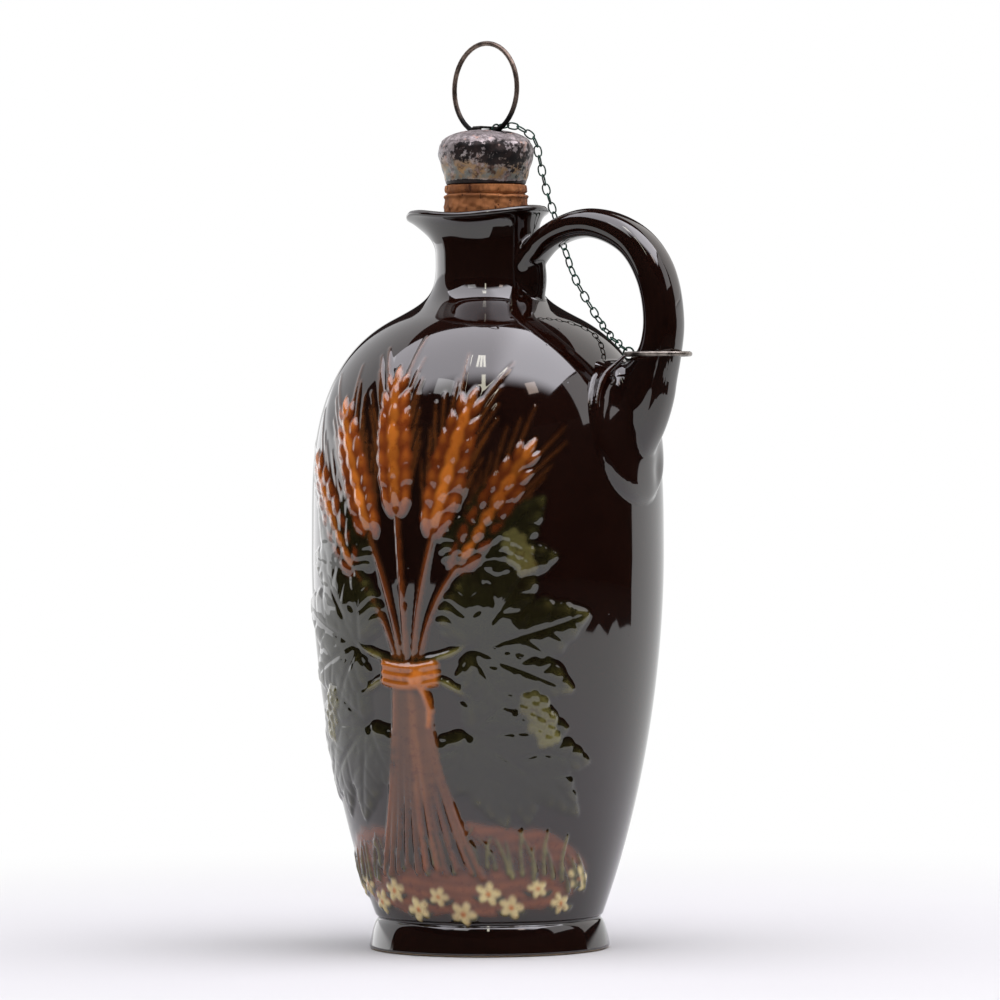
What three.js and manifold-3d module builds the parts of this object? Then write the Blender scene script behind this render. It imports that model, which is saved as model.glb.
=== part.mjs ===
// Stoneware spirit flask with a pouring lip and a strap handle, a cork stopper under a metal cap,
// a pull ring, and a keeper chain that ties the stopper to a ring round the handle.
// Millimetres, +Z up. The origin is the middle of the flat underside. The handle is on +X, the
// pouring lip on -X and the decorated front on -Y.
import * as THREE from 'three';
import { mergeVertices } from 'three/addons/utils/BufferGeometryUtils.js';
import Module from 'manifold-3d';

const wasm = await Module();
wasm.setup();

const { degToRad, lerp, smoothstep } = THREE.MathUtils;
const mm = (x, y) => new THREE.Vector2(x, y);
const at = (x, y, z) => new THREE.Vector3(x, y, z);

// Clearance between pieces that touch on the real object
const gap = 0.3;

// Foot: a low plinth with soft edges and a waist above it
const footRadius = 33;
const footHeight = 7.8;
const footEdge = 1.6;
const waistRadius = 31.8;
const waistRise = 1.8;

// Body: three smooth stretches, from waist to belly, belly to shoulder and shoulder to neck
const bellyRadius = 49.35;
const bellyZ = 112;
const waistReach = 29.5;
const waistSlope = 0.37;
const bellyReachDown = 35.3;
const bellyReachUp = 25;
const shoulderRadius = 26.3;
const shoulderRise = 64;
const shoulderAngle = degToRad(27.7);
const shoulderReachOut = 26.6;
const shoulderReachIn = 10.1;
const neckRadius = 14.3;
const neckRise = 15;
const neckReach = 8.8;
const wall = 4.8;
const floorThickness = 6.5;
const bodySegments = 48;

// Mouth: a rolled lip on a flaring throat, drawn out into a pouring spout on one side
const boreRadius = 10.8;
const throatRise = 2;
const lipRadius = 17.6;
const lipRise = 15.2;
const lipRoll = 1.25;
const lipFlare = 5;
const throatRadius = 15.2;
const spoutReach = 6.3;
const spoutRise = 3;
const spoutSharpness = 2.6;
const spoutSwell = 1.1;
const spoutDroop = 3;
const rimRise = 2.1;
const rimDip = 0.8;

// Handle: a strap from under the lip, over in an arch and down into a broad luted tongue
const strapHalfWidth = 6.5;
const strapHalfThickness = 5;
const archHalfThickness = 4.1;
const archDrop = 4.15;
const archX = 33.4;
const strapReach = 15.65;
const rootBury = 3.3;
const rootDrop = 13.7;
const rootHalfThickness = 3.4;
const rootOut = 6.1;
const rootOutDrop = 3.8;
const strapSteps = 32;
const strapSides = 16;
const sectionPower = 2.5;

// Stations of the strap under its arch: how far in it lies from its outermost line, how far over
// the top of the tongue, and how much it swells there in half thickness and half width
const strapFoot = [
  { inward: 1.4, over: 2.3, thicker: 0.5, wider: 0.2 },
  { inward: 5.2, over: -5.7, thicker: 2.9, wider: 1.1 },
  { inward: 8.2, over: -14.7, thicker: 3.1, wider: 1.2 },
  { inward: 13.3, over: -26.2, thicker: 2.4, wider: 0 },
];

// The pad of clay under the strap's upper root
const padDrop = 4;
const padHalfHeight = 13.5;
const padHalfWidth = 5.9;
const padProud = 4.5;

// The tongue at the strap's lower end
const tongueDrop = 12.8;
const tongueLength = 38.7;
const tongueHalfWidth = 18.6;
const tongueTopHalfWidth = 7;
const tongueWidest = 0.53;
const tongueProud = 2.2;
const tongueCrest = 4.8;
const crestHalfWidth = 8.5;
const tongueBury = 2;
const tongueRows = 14;
const tongueColumns = 14;

// Cork
const corkBottomRadius = 10.2;
const corkSeatDepth = 7;
const corkMouthRadius = 11.8;
const corkCreaseRadius = 11.1;
const corkCreaseDrop = 2.5;
const corkNeckRadius = 11.5;
const corkHeadRadius = 10.1;
const corkChamfer = 0.8;

// Cap: a cast dome over the head of the cork
const corkShow = 7.4;
const capWall = 0.7;
const capHeight = 15.5;
const capWideRadius = 13.3;
const capWideRise = 8.1;
const capShoulderRadius = 10.6;
const capShoulderDrop = 2;
const capSegments = 32;

// Pull ring: round wire bent to a circle with a short straight bar that turns under a staple
const ringWire = 1.4;
const ringRadius = 12.75;
const ringSeat = 12;
const barDrop = 0.75;
const barBend = 1.4;
const ringTurn = degToRad(-16.6);
const pocketHalfLength = 9;
const pocketHalfWidth = 2.6;
const pocketRoof = 1.2;
const stapleWidth = 3;
const stapleThickness = 0.5;
const stapleHalfSpan = 3.9;
const stapleLeg = 0.8;
const stapleDepth = 9;
const stapleBend = 0.45;

// Keeper chain, its end rings and the collar that slides on the handle
const chainWire = 0.38;
const linkPitch = 2.76;
const linkSlack = 0.14;
const linkWidth = 2.4;
const jumpWire = 0.45;
const jumpInnerRadius = 1.45;
const jumpAlongBar = 4.2;
const collarWire = 1.4;
const collarRadius = 8.85;
const collarRise = 2.3;
const collarSetBack = 1.65;

// Heights that follow from the sizes above
const waistZ = footHeight + waistRise;
const shoulderZ = bellyZ + shoulderRise;
const neckZ = shoulderZ + neckRise;
const throatZ = neckZ + throatRise;
const lipZ = neckZ + lipRise;
const spoutStartZ = neckZ + spoutRise;
const archZ = lipZ - archDrop;
const tongueTopZ = shoulderZ - tongueDrop;
const tongueTipZ = tongueTopZ - tongueLength;
const corkBottomZ = throatZ - corkSeatDepth;
const capBottomZ = lipZ + corkShow;
const capBottomRadius = corkHeadRadius + gap + capWall;
const capWideZ = capBottomZ + capWideRise;
const capTopZ = capBottomZ + capHeight;
const barZ = capTopZ - barDrop;
const pocketFloorZ = barZ - ringWire / 2 - 2 * gap - jumpWire - gap;
const capRoofZ = pocketFloorZ - pocketRoof;
const linkInnerLength = linkPitch + linkSlack;
const collarZ = tongueTopZ + collarRise;

const colours = {
  glaze: 0x20100c,
  cork: 0x9a5a2c,
  cap: 0x77706a,
  steel: 0x6a645e,
  chain: 0x2a322e,
};

const finish = (color, roughness, metalness) =>
  new THREE.MeshStandardMaterial({ color, roughness, metalness });

function toSolid(geometry) {
  const bare = geometry.clone();
  bare.deleteAttribute('normal');
  bare.deleteAttribute('uv');
  const welded = mergeVertices(bare, 1e-4);
  return new wasm.Manifold(new wasm.Mesh({
    numProp: 3,
    vertProperties: new Float32Array(welded.attributes.position.array),
    triVerts: new Uint32Array(welded.index.array),
  }));
}

function indexed(corners, faces) {
  const geometry = new THREE.BufferGeometry();
  geometry.setAttribute('position', new THREE.Float32BufferAttribute(corners, 3));
  geometry.setIndex(faces);
  geometry.computeVertexNormals();
  return geometry;
}

function toGeometry(solid) {
  const mesh = solid.getMesh();
  return indexed(mesh.vertProperties, Array.from(mesh.triVerts));
}

// Points along curves that follow each other, each curve with its own number of steps
function trace(...stretches) {
  return stretches.flatMap(([curve, steps], i) => curve.getPoints(steps).slice(i === 0 ? 0 : 1));
}

const straight = (from, to) => new THREE.LineCurve(from, to);
const corner = (from, over, to) => new THREE.QuadraticBezierCurve(from, over, to);
const sweep = (from, leave, arrive, to) => new THREE.CubicBezierCurve(from, leave, arrive, to);

// A lathe about Z from a profile of (radius, z) points that starts and ends on the axis
function turned(profile, segments) {
  return new THREE.LatheGeometry(profile, segments).rotateX(Math.PI / 2);
}

// Closed skin over a grid of rings of points, with a fan at each end
function skin(rings) {
  const sides = rings[0].length;
  const middle = (ring) => ring.reduce((sum, p) => sum.add(p), at(0, 0, 0)).divideScalar(sides);
  const corners = [...rings.flat(), middle(rings[0]), middle(rings.at(-1))];
  const bottom = rings.length * sides;
  const faces = [];
  for (let j = 0; j < sides; j += 1) {
    const k = (j + 1) % sides;
    for (let i = 0; i < rings.length - 1; i += 1) {
      const [low, high] = [i * sides, (i + 1) * sides];
      faces.push(low + j, low + k, high + k, low + j, high + k, high + j);
    }
    faces.push(bottom, k, j, bottom + 1, bottom - sides + j, bottom - sides + k);
  }
  return indexed(corners.flatMap((p) => p.toArray()), faces);
}

// Round wire bent along a closed flat loop of points in the XY plane
function wireLoop(points, wire, sides) {
  const corners = [];
  const faces = [];
  points.forEach((point, i) => {
    const next = (i + 1) % points.length;
    const along = points[next].clone().sub(points.at(i - 1)).normalize();
    for (let j = 0; j < sides; j += 1) {
      const k = (j + 1) % sides;
      const angle = (j / sides) * 2 * Math.PI;
      const out = (wire / 2) * Math.cos(angle);
      corners.push(point.x + along.y * out, point.y - along.x * out, (wire / 2) * Math.sin(angle));
      faces.push(i * sides + j, next * sides + j, next * sides + k);
      faces.push(i * sides + j, next * sides + k, i * sides + k);
    }
  });
  return indexed(corners, faces);
}

// Outer profile of the turned body, from the middle of the underside up to the top of the lip
function bodyProfile() {
  const foot = mm(footRadius, footHeight - footEdge);
  const waist = mm(waistRadius, waistZ);
  const belly = mm(bellyRadius, bellyZ);
  const shoulder = mm(shoulderRadius, shoulderZ);
  const slope = mm(-Math.cos(shoulderAngle), Math.sin(shoulderAngle));
  const neck = mm(neckRadius, neckZ);
  const lip = mm(lipRadius, lipZ - lipRoll);
  return trace(
    [straight(mm(0, 0), mm(footRadius - footEdge, 0)), 1],
    [corner(mm(footRadius - footEdge, 0), mm(footRadius, 0), mm(footRadius, footEdge)), 3],
    [straight(mm(footRadius, footEdge), foot), 1],
    [corner(foot, mm(footRadius, footHeight), waist), 3],
    [sweep(
      waist,
      mm(waistRadius + waistReach * waistSlope, waistZ + waistReach),
      mm(bellyRadius, bellyZ - bellyReachDown),
      belly,
    ), 9],
    [sweep(
      belly,
      mm(bellyRadius, bellyZ + bellyReachUp),
      shoulder.clone().addScaledVector(slope, -shoulderReachOut),
      shoulder,
    ), 9],
    [sweep(shoulder, shoulder.clone().addScaledVector(slope, shoulderReachIn), mm(neckRadius, neckZ - neckReach), neck), 6],
    [sweep(neck, mm(neckRadius, neckZ + lipFlare + 1), mm(lipRadius - 1, lipZ - lipFlare), lip), 5],
    [corner(lip, mm(lipRadius, lipZ), mm(lipRadius - lipRoll, lipZ)), 3],
  );
}

// Radius of the turned wall at a height above the belly
function wallRadiusAt(z) {
  const above = bodyProfile().filter((p) => p.y > bellyZ - 1);
  const i = above.findIndex((p) => p.y >= z);
  return lerp(above[i - 1].x, above[i].x, (z - above[i - 1].y) / (above[i].y - above[i - 1].y));
}

// The strap's outermost line stands out from the wall at the top of its tongue, and the collar on it
const strapX = wallRadiusAt(tongueTopZ) + strapReach;
const collarX = strapX - collarSetBack;

// A profile moved along its own normal by a distance
function offset(profile, distance) {
  return profile.map((point, i) => {
    const before = profile[Math.max(i - 1, 0)];
    const after = profile[Math.min(i + 1, profile.length - 1)];
    const along = after.clone().sub(before).normalize();
    return mm(point.x + along.y * distance, point.y - along.x * distance);
  });
}

// Draws the lip out into the spout and lets the rim rise towards the spout and the handle
function drawSpout(geometry) {
  const position = geometry.attributes.position;
  for (let i = 0; i < position.count; i += 1) {
    const [x, y, z] = [position.getX(i), position.getY(i), position.getZ(i)];
    const radius = Math.hypot(x, y);
    if (radius > gap && z > spoutStartZ) {
      const share = smoothstep(z, spoutStartZ, lipZ);
      const facing = Math.max(-x / radius, 0) ** spoutSharpness;
      const grown = 1 + (spoutReach * facing * share ** spoutSwell) / radius;
      const wave = rimRise * (x / radius) ** 2 - rimDip;
      position.setXYZ(i, x * grown, y * grown, z + (wave - spoutDroop * facing ** 4) * share);
    }
  }
  return geometry;
}

// The inside of the flask, from the middle of its floor to the top of the lip
function hollowProfile(outer) {
  const inner = offset(outer, -wall)
    .filter((p) => p.y > floorThickness + wall / 2 && p.y < neckZ && p.x > boreRadius + gap);
  const chest = inner.filter((p, i) => i % 2 === 0);
  const floorCorner = mm(footRadius - footEdge - wall, floorThickness);
  const bore = mm(boreRadius, throatZ);
  return [
    mm(0, floorThickness),
    floorCorner,
    ...chest,
    ...trace(
      [straight(mm(boreRadius, Math.min(chest.at(-1).y + wall / 2, throatZ - 1)), bore), 1],
      [sweep(
        bore,
        mm(boreRadius, throatZ + lipFlare),
        mm(throatRadius - 1, lipZ - lipFlare - 1),
        mm(throatRadius, lipZ - lipRoll),
      ), 5],
      [corner(mm(throatRadius, lipZ - lipRoll), mm(throatRadius, lipZ), mm(lipRadius - lipRoll, lipZ)), 2],
    ),
  ];
}

function flaskBody() {
  const outer = bodyProfile();
  const inside = hollowProfile(outer).slice(0, -1).reverse();
  return drawSpout(turned([...outer, ...inside], bodySegments));
}

// The filled outer shape of the flask and its clearance, cut out of what is luted to it
function flaskEnvelope() {
  const outer = offset(bodyProfile(), gap);
  outer[0].x = 0;
  outer.push(mm(0, outer.at(-1).y));
  return toSolid(drawSpout(turned(outer, bodySegments)));
}

// The strap's run in the XZ plane, with its half thickness and half width at each point
function strapRun() {
  const rootX = neckRadius - rootBury;
  const halfway = lerp(archHalfThickness, strapHalfThickness, 0.5);
  const foot = strapFoot.map(({ inward, over, thicker, wider }) => [
    at(strapX - inward, 0, tongueTopZ + over),
    strapHalfThickness + thicker,
    strapHalfWidth + wider,
  ]);
  return [
    [at(rootX, 0, archZ - rootDrop), rootHalfThickness, padHalfWidth],
    [at(neckRadius + rootOut, 0, archZ - rootOutDrop), rootHalfThickness, padHalfWidth],
    [at(archX, 0, archZ), archHalfThickness, strapHalfWidth],
    [at(lerp(archX, strapX, 0.57), 0, lerp(archZ, shoulderZ, 0.18)), halfway, strapHalfWidth],
    [at(lerp(archX, strapX, 0.88), 0, lerp(archZ, shoulderZ, 0.53)), strapHalfThickness, strapHalfWidth],
    [at(strapX, 0, shoulderZ - 1), strapHalfThickness, strapHalfWidth],
    ...foot,
  ];
}

function strap() {
  const run = strapRun();
  const line = new THREE.CatmullRomCurve3(run.map(([point]) => point));
  const size = new THREE.SplineCurve(run.map(([, thickness, width]) => mm(thickness, width)));
  const rings = [];
  for (let i = 0; i <= strapSteps; i += 1) {
    const t = i / strapSteps;
    const centre = line.getPoint(t);
    const along = line.getTangent(t);
    const half = size.getPoint(t);
    const ring = [];
    for (let j = 0; j < strapSides; j += 1) {
      const angle = (j / strapSides) * 2 * Math.PI;
      const flatten = (v) => Math.sign(v) * Math.abs(v) ** (2 / sectionPower);
      const [across, out] = [half.y * flatten(Math.cos(angle)), half.x * flatten(Math.sin(angle))];
      ring.push(at(centre.x - along.z * out, across, centre.z + along.x * out));
    }
    rings.push(ring);
  }
  return toSolid(skin(rings));
}

// The clay smeared down the neck under the strap's upper root
function rootPad() {
  const buried = neckRadius - boreRadius;
  const pad = new THREE.SphereGeometry(1, 16, 12).scale(padProud + buried, padHalfWidth, padHalfHeight);
  return toSolid(pad.translate(boreRadius, 0, neckZ - padDrop));
}

// The tongue: a rounded spade that wraps the shoulder, crowned where the strap runs into it
function tongue() {
  const rings = [];
  for (let i = 0; i <= tongueRows; i += 1) {
    const share = 0.5 - 0.5 * Math.cos((Math.PI * i) / tongueRows);
    const z = lerp(tongueTipZ, tongueTopZ, share);
    const radius = wallRadiusAt(z);
    const fromWidest = share < tongueWidest ? 1 - share / tongueWidest : (share - tongueWidest) / (1 - tongueWidest);
    const round = Math.sqrt(Math.max(1 - fromWidest ** 2.1, 0.02));
    const halfWidth = share < tongueWidest
      ? tongueHalfWidth * round
      : lerp(tongueHalfWidth, tongueTopHalfWidth, fromWidest ** 2.4);
    const crest = tongueCrest * smoothstep(share, 0.18, 0.9);
    const rise = Math.min(1, Math.sqrt(share * 6)) * (1 - 0.5 * smoothstep(share, 0.85, 1));
    const front = [];
    const back = [];
    for (let j = 0; j <= tongueColumns; j += 1) {
      const side = (j / tongueColumns) * 2 - 1;
      const angle = (halfWidth / radius) * side;
      const edge = Math.sqrt(1 - side ** 6);
      const crown = crest * Math.exp(-(((halfWidth * side) / crestHalfWidth) ** 2));
      const proud = radius + (tongueProud * rise + crown) * edge;
      front.push(at(proud * Math.cos(angle), proud * Math.sin(angle), z));
      if (j > 0 && j < tongueColumns) {
        const buried = radius - tongueBury;
        back.push(at(buried * Math.cos(angle), buried * Math.sin(angle), z));
      }
    }
    rings.push([...front, ...back.reverse()]);
  }
  return toSolid(skin(rings));
}

function handle() {
  return toGeometry(strap().add(rootPad()).add(tongue()).subtract(flaskEnvelope()));
}

function corkProfile() {
  const seatRadius = boreRadius - gap;
  const mouth = mm(corkMouthRadius, lipZ - corkChamfer);
  const creaseZ = capBottomZ - corkCreaseDrop;
  const headTopZ = capRoofZ - gap;
  const underCap = capBottomZ - gap;
  return [
    mm(0, corkBottomZ),
    mm(corkBottomRadius - corkChamfer, corkBottomZ),
    mm(corkBottomRadius, corkBottomZ + corkChamfer),
    mm(seatRadius, throatZ),
    mouth,
    mm(corkMouthRadius, lipZ + corkChamfer),
    mm(corkNeckRadius, creaseZ - 2 * corkChamfer),
    mm(corkCreaseRadius, creaseZ),
    mm(corkNeckRadius, creaseZ + corkChamfer),
    mm(corkNeckRadius, underCap),
    mm(corkHeadRadius, underCap),
    mm(corkHeadRadius, headTopZ - corkChamfer),
    mm(corkHeadRadius - corkChamfer, headTopZ),
    mm(0, headTopZ),
  ];
}

// The cap's outside, from its lower edge to the middle of its dome
function capOutside() {
  return new THREE.SplineCurve([
    mm(capBottomRadius, capBottomZ),
    mm(lerp(capBottomRadius, capWideRadius, 0.45), lerp(capBottomZ, capWideZ, 0.4)),
    mm(capWideRadius, capWideZ),
    mm(lerp(capWideRadius, capShoulderRadius, 0.35), lerp(capWideZ, capTopZ, 0.54)),
    mm(capShoulderRadius, capTopZ - capShoulderDrop),
    mm(capShoulderRadius / 2, capTopZ - capShoulderDrop * 0.18),
    mm(0, capTopZ),
  ]).getPoints(18);
}

function capProfile() {
  const bore = corkHeadRadius + gap;
  return [mm(0, capRoofZ), mm(bore, capRoofZ), mm(bore, capBottomZ), ...capOutside()];
}

// The staple as an outline across the bar, grown by an allowance, and stood up over the bar
function staple(allowance) {
  const top = barZ + ringWire / 2 + gap + stapleThickness + allowance;
  const foot = top - stapleDepth - 2 * allowance;
  const inside = top - stapleThickness - 2 * allowance;
  const outer = stapleHalfSpan + allowance;
  const inner = stapleHalfSpan - stapleLeg - allowance;
  const half = [
    mm(outer, foot),
    mm(outer, top - stapleBend),
    mm(outer - stapleBend, top),
  ];
  const under = [mm(inner - stapleBend, inside), mm(inner, inside - stapleBend), mm(inner, foot)];
  const mirror = (points) => points.map((p) => mm(-p.x, p.y)).reverse();
  const outline = new THREE.Shape([...half, ...mirror(half), ...mirror(under), ...under]);
  const depth = stapleWidth + 2 * allowance;
  return new THREE.ExtrudeGeometry(outline, { depth, bevelEnabled: false })
    .translate(0, 0, -depth / 2)
    .rotateX(Math.PI / 2)
    .rotateZ(Math.PI / 2 + ringTurn);
}

// The oval well in the top of the cap that the bar and the first jump ring lie in
function pocket() {
  const run = pocketHalfLength - pocketHalfWidth;
  const outline = new THREE.Shape()
    .absarc(run, 0, pocketHalfWidth, -Math.PI / 2, Math.PI / 2, false)
    .absarc(-run, 0, pocketHalfWidth, Math.PI / 2, 1.5 * Math.PI, false);
  const depth = capTopZ - pocketFloorZ + gap;
  return new THREE.ExtrudeGeometry(outline, { depth, bevelEnabled: false, curveSegments: 8 })
    .translate(0, 0, pocketFloorZ)
    .rotateZ(ringTurn);
}

function cork() {
  return toGeometry(toSolid(turned(corkProfile(), capSegments)).subtract(toSolid(staple(gap))));
}

function stopperCap() {
  const cuts = toSolid(pocket()).add(toSolid(staple(gap)));
  return toGeometry(toSolid(turned(capProfile(), capSegments)).subtract(cuts));
}

// The ring as a loop in the XY plane: its bar lies along X at y = 0 and its circle stands on it
function pullRing() {
  const low = Math.asin(-ringSeat / ringRadius);
  const barHalf = ringRadius * Math.cos(low);
  const start = low + barBend / ringRadius;
  const onCircle = (angle) => mm(ringRadius * Math.cos(angle), ringSeat + ringRadius * Math.sin(angle));
  const bend = corner(mm(barHalf - barBend, 0), mm(barHalf, 0), onCircle(start)).getPoints(3);
  const steps = 34;
  const arc = Array.from({ length: steps - 1 }, (_, i) => onCircle(lerp(start, Math.PI - start, (i + 1) / steps)));
  return wireLoop([...bend, ...arc, ...bend.map((p) => mm(-p.x, p.y)).reverse()], ringWire, 8);
}

function jumpRing() {
  return new THREE.TorusGeometry(jumpInnerRadius + jumpWire / 2, jumpWire / 2, 6, 16);
}

function chainLink() {
  const bend = (linkWidth - chainWire) / 2;
  const run = (linkInnerLength + chainWire) / 2 - bend;
  const steps = 4;
  const half = Array.from({ length: steps + 1 }, (_, i) => {
    const angle = lerp(-Math.PI / 2, Math.PI / 2, i / steps);
    return mm(run + bend * Math.cos(angle), bend * Math.sin(angle));
  });
  return wireLoop([...half, ...half.map((p) => mm(-p.x, -p.y))], chainWire, 5);
}

const model = new THREE.Group();
const stopper = new THREE.Group();
model.add(stopper);

function piece(name, geometry, material, parent) {
  const mesh = new THREE.Mesh(geometry, material);
  mesh.name = name;
  parent.add(mesh);
  return mesh;
}

const glaze = finish(colours.glaze, 0.08, 0);
const chainMetal = finish(colours.chain, 0.4, 0.9);
const steel = finish(colours.steel, 0.35, 0.9);

piece('flask_body', flaskBody(), glaze, model);
piece('handle', handle(), glaze, model);
piece('cork', cork(), finish(colours.cork, 0.85, 0), stopper);
piece('stopper_cap', stopperCap(), finish(colours.cap, 0.5, 0.8), stopper);
piece('ring_staple', staple(0), steel, stopper);

const pull = piece('pull_ring', pullRing(), steel, stopper);
pull.position.z = barZ;
pull.rotation.set(Math.PI / 2, 0, ringTurn, 'ZYX');

const collar = piece('handle_ring', new THREE.TorusGeometry(collarRadius, collarWire / 2, 8, 32), steel, model);
collar.position.set(collarX, 0, collarZ);

const up = at(0, 0, 1);
const alongBar = at(1, 0, 0).applyAxisAngle(up, ringTurn);
const acrossBar = at(0, 1, 0).applyAxisAngle(up, ringTurn);
const lean = Math.SQRT1_2;

// A jump ring of the chain: its plane is square to one direction, and the chain pulls it the other way
function chainJumpRing(name, centre, across, outward) {
  const ring = piece(name, jumpRing(), chainMetal, stopper);
  ring.position.copy(centre);
  ring.quaternion.setFromUnitVectors(up, across);
  const hook = centre.clone().addScaledVector(outward, jumpInnerRadius + jumpWire / 2);
  return { hook, tangent: at(0, 0, 0).crossVectors(across, outward) };
}

// The first jump ring hangs on the bar near its end, and the last on the collar's inner side
const barEnd = at(0, 0, barZ + gap - 0.05)
  .addScaledVector(alongBar, jumpAlongBar)
  .addScaledVector(acrossBar, gap / 2);
const firstOut = acrossBar.clone().addScaledVector(up, 1).multiplyScalar(lean);
const first = chainJumpRing('chain_jump_ring', barEnd, alongBar, firstOut);
const collarInner = at(collarX - collarRadius - gap, 0, collarZ + gap);
const last = chainJumpRing('chain_end_ring', collarInner, at(0, 1, 0), at(-lean, 0, lean));

// The chain's run over the cap, down past the lip, behind the handle's root and in to the collar
const round = (radius, degrees, z) => at(radius, 0, z).applyAxisAngle(up, degToRad(degrees));
const besideStrap = strapHalfWidth + linkWidth / 2 + 3 * gap;
const middle = [
  round(capShoulderRadius - 2.6, 10, capTopZ + 0.7),
  round(capShoulderRadius + 0.2, 22, capTopZ - 0.5),
  round(capWideRadius + 0.4, 27, capTopZ - 3.2),
  round(capWideRadius + linkWidth / 2 + gap, 28.5, capWideZ),
  round(lerp(capWideRadius, lipRadius, 0.5) + 1.2, 29.7, capBottomZ - 0.6),
  round(lipRadius + linkWidth / 2 + gap, 30, lipZ - 1.2),
  at(neckRadius + 5.4, besideStrap + 0.8, neckZ + 5),
  at(neckRadius + 9.3, besideStrap + 0.2, neckZ - 4),
  at(shoulderRadius + 4.3, besideStrap, shoulderZ + 0.2),
  at(collarX - collarRadius - 8.15, besideStrap / 2, collarZ + 5.1),
];
const hookBack = (linkPitch - linkInnerLength + jumpWire + linkSlack) / 2;
const pastHook = (hook, next) => hook.clone().addScaledVector(hook.clone().sub(next).normalize(), hookBack);
const route = new THREE.CatmullRomCurve3([
  pastHook(first.hook, middle[0]),
  ...middle,
  pastHook(last.hook, middle.at(-1)),
]);
const linkCount = Math.round(route.getLength() / linkPitch);

// Where a link lies: its middle, its direction along the route, and two directions square to that
function linkFrame(i) {
  const share = (i + 0.5) / linkCount;
  const along = route.getTangentAt(share);
  const side = at(0, 0, 0).crossVectors(along, up).normalize();
  return { centre: route.getPointAt(share), along, side, rise: at(0, 0, 0).crossVectors(side, along) };
}

// Links turn their faces by a quarter from one to the next, with a little twist shared out over
// the chain so that the first and the last both face their jump rings squarely
const faceAngle = (frame, normal) => Math.atan2(normal.dot(frame.rise), normal.dot(frame.side));
const firstAngle = faceAngle(linkFrame(0), first.tangent);
const lastAngle = faceAngle(linkFrame(linkCount - 1), last.tangent);
const missing = lastAngle - firstAngle - (linkCount - 1) * (Math.PI / 2);
const twist = (missing - Math.round(missing / Math.PI) * Math.PI) / (linkCount - 1);

for (let i = 0; i < linkCount; i += 1) {
  const frame = linkFrame(i);
  const angle = firstAngle + i * (Math.PI / 2 + twist);
  const normal = frame.side.multiplyScalar(Math.cos(angle)).addScaledVector(frame.rise, Math.sin(angle));
  const across = at(0, 0, 0).crossVectors(normal, frame.along);
  const link = piece(`chain_link_${String(i + 1).padStart(2, '0')}`, chainLink(), chainMetal, stopper);
  link.position.copy(frame.centre);
  link.setRotationFromMatrix(new THREE.Matrix4().makeBasis(frame.along, across, normal));
}

export default model;
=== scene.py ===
"""Looks of a glazed stoneware spirit flask with a capped cork stopper, a pull ring and a keeper chain.

The flask stands at the origin with +Z up, its handle on +X and its decorated front on -Y.
Shapes are worked out in millimetres and turned into metres by MM. Camera and lamps are in metres.
"""
import math
import random

import bpy
import numpy as np
from mathutils import Matrix, Vector

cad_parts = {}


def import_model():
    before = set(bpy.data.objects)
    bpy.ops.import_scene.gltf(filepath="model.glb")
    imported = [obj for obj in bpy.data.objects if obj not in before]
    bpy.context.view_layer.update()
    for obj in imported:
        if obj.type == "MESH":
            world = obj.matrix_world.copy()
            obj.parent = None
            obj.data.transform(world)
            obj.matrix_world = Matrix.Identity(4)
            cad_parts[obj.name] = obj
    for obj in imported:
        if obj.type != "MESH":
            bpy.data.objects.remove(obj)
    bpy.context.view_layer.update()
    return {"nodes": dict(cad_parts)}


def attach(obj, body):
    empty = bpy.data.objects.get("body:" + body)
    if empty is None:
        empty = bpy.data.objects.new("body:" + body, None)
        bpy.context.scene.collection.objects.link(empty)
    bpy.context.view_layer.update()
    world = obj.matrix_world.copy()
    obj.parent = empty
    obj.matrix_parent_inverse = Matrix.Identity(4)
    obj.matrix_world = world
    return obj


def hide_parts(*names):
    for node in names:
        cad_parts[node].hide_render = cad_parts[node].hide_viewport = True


MM = 0.001
UP = Vector((0, 0, 1))

# The camera: a little above the middle of the flask, on the side of the relief
VIEW_AZIMUTH = math.radians(30)
VIEW_DISTANCE = 1.6
VIEW_HEIGHT = 0.140
VIEW_ROLL = math.radians(-0.28)
AIM_RIGHT = 0.0035
AIM_HEIGHT = 0.1253
SENSOR_WIDTH = 36
LENS = 205.7
RIGHT = Vector((math.cos(VIEW_AZIMUTH), math.sin(VIEW_AZIMUTH), 0))
BACK = Vector((math.sin(VIEW_AZIMUTH), -math.cos(VIEW_AZIMUTH), 0))

# Driving sizes of the thrown body, as in the CAD part, with a foot that rolls over its crease
FOOT_RADIUS = 33
FOOT_HEIGHT = 7.8
FOOT_EDGE = 1.6
FOOT_SPREAD = 33.7
FOOT_SPREAD_Z = 0.9
FOOT_LEAN = 0.5
FOOT_LEAN_Z = 3.5
FOOT_TURN_IN = 0.7
CREASE_RADIUS = 31.3
CREASE_Z = 8.4
CREASE_OPEN = 0.5
WAIST_RADIUS = 31.8
WAIST_Z = 9.6
WAIST_REACH = 29.5
WAIST_SLOPE = 0.37
BELLY_RADIUS = 49.35
BELLY_Z = 112
BELLY_REACH_DOWN = 35.3
BELLY_REACH_UP = 25
SHOULDER_RADIUS = 26.3
SHOULDER_Z = 176
SHOULDER_ANGLE = math.radians(27.7)
SHOULDER_REACH_OUT = 26.6
SHOULDER_REACH_IN = 10.1
NECK_RADIUS = 14.3
NECK_Z = 191
NECK_REACH = 8.8
BORE_RADIUS = 10.8
THROAT_Z = 193
THROAT_RADIUS = 15.2
THROAT_TAPER = 2.4
LIP_RADIUS = 17.6
LIP_Z = 206.2
LIP_ROLL = 1.25
LIP_FLARE = 5
TRUMPET_Z = 200.5
TRUMPET_RADIUS = 15
TRUMPET_TOP_Z = 203.6
SPOUT_START_Z = 194
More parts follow.
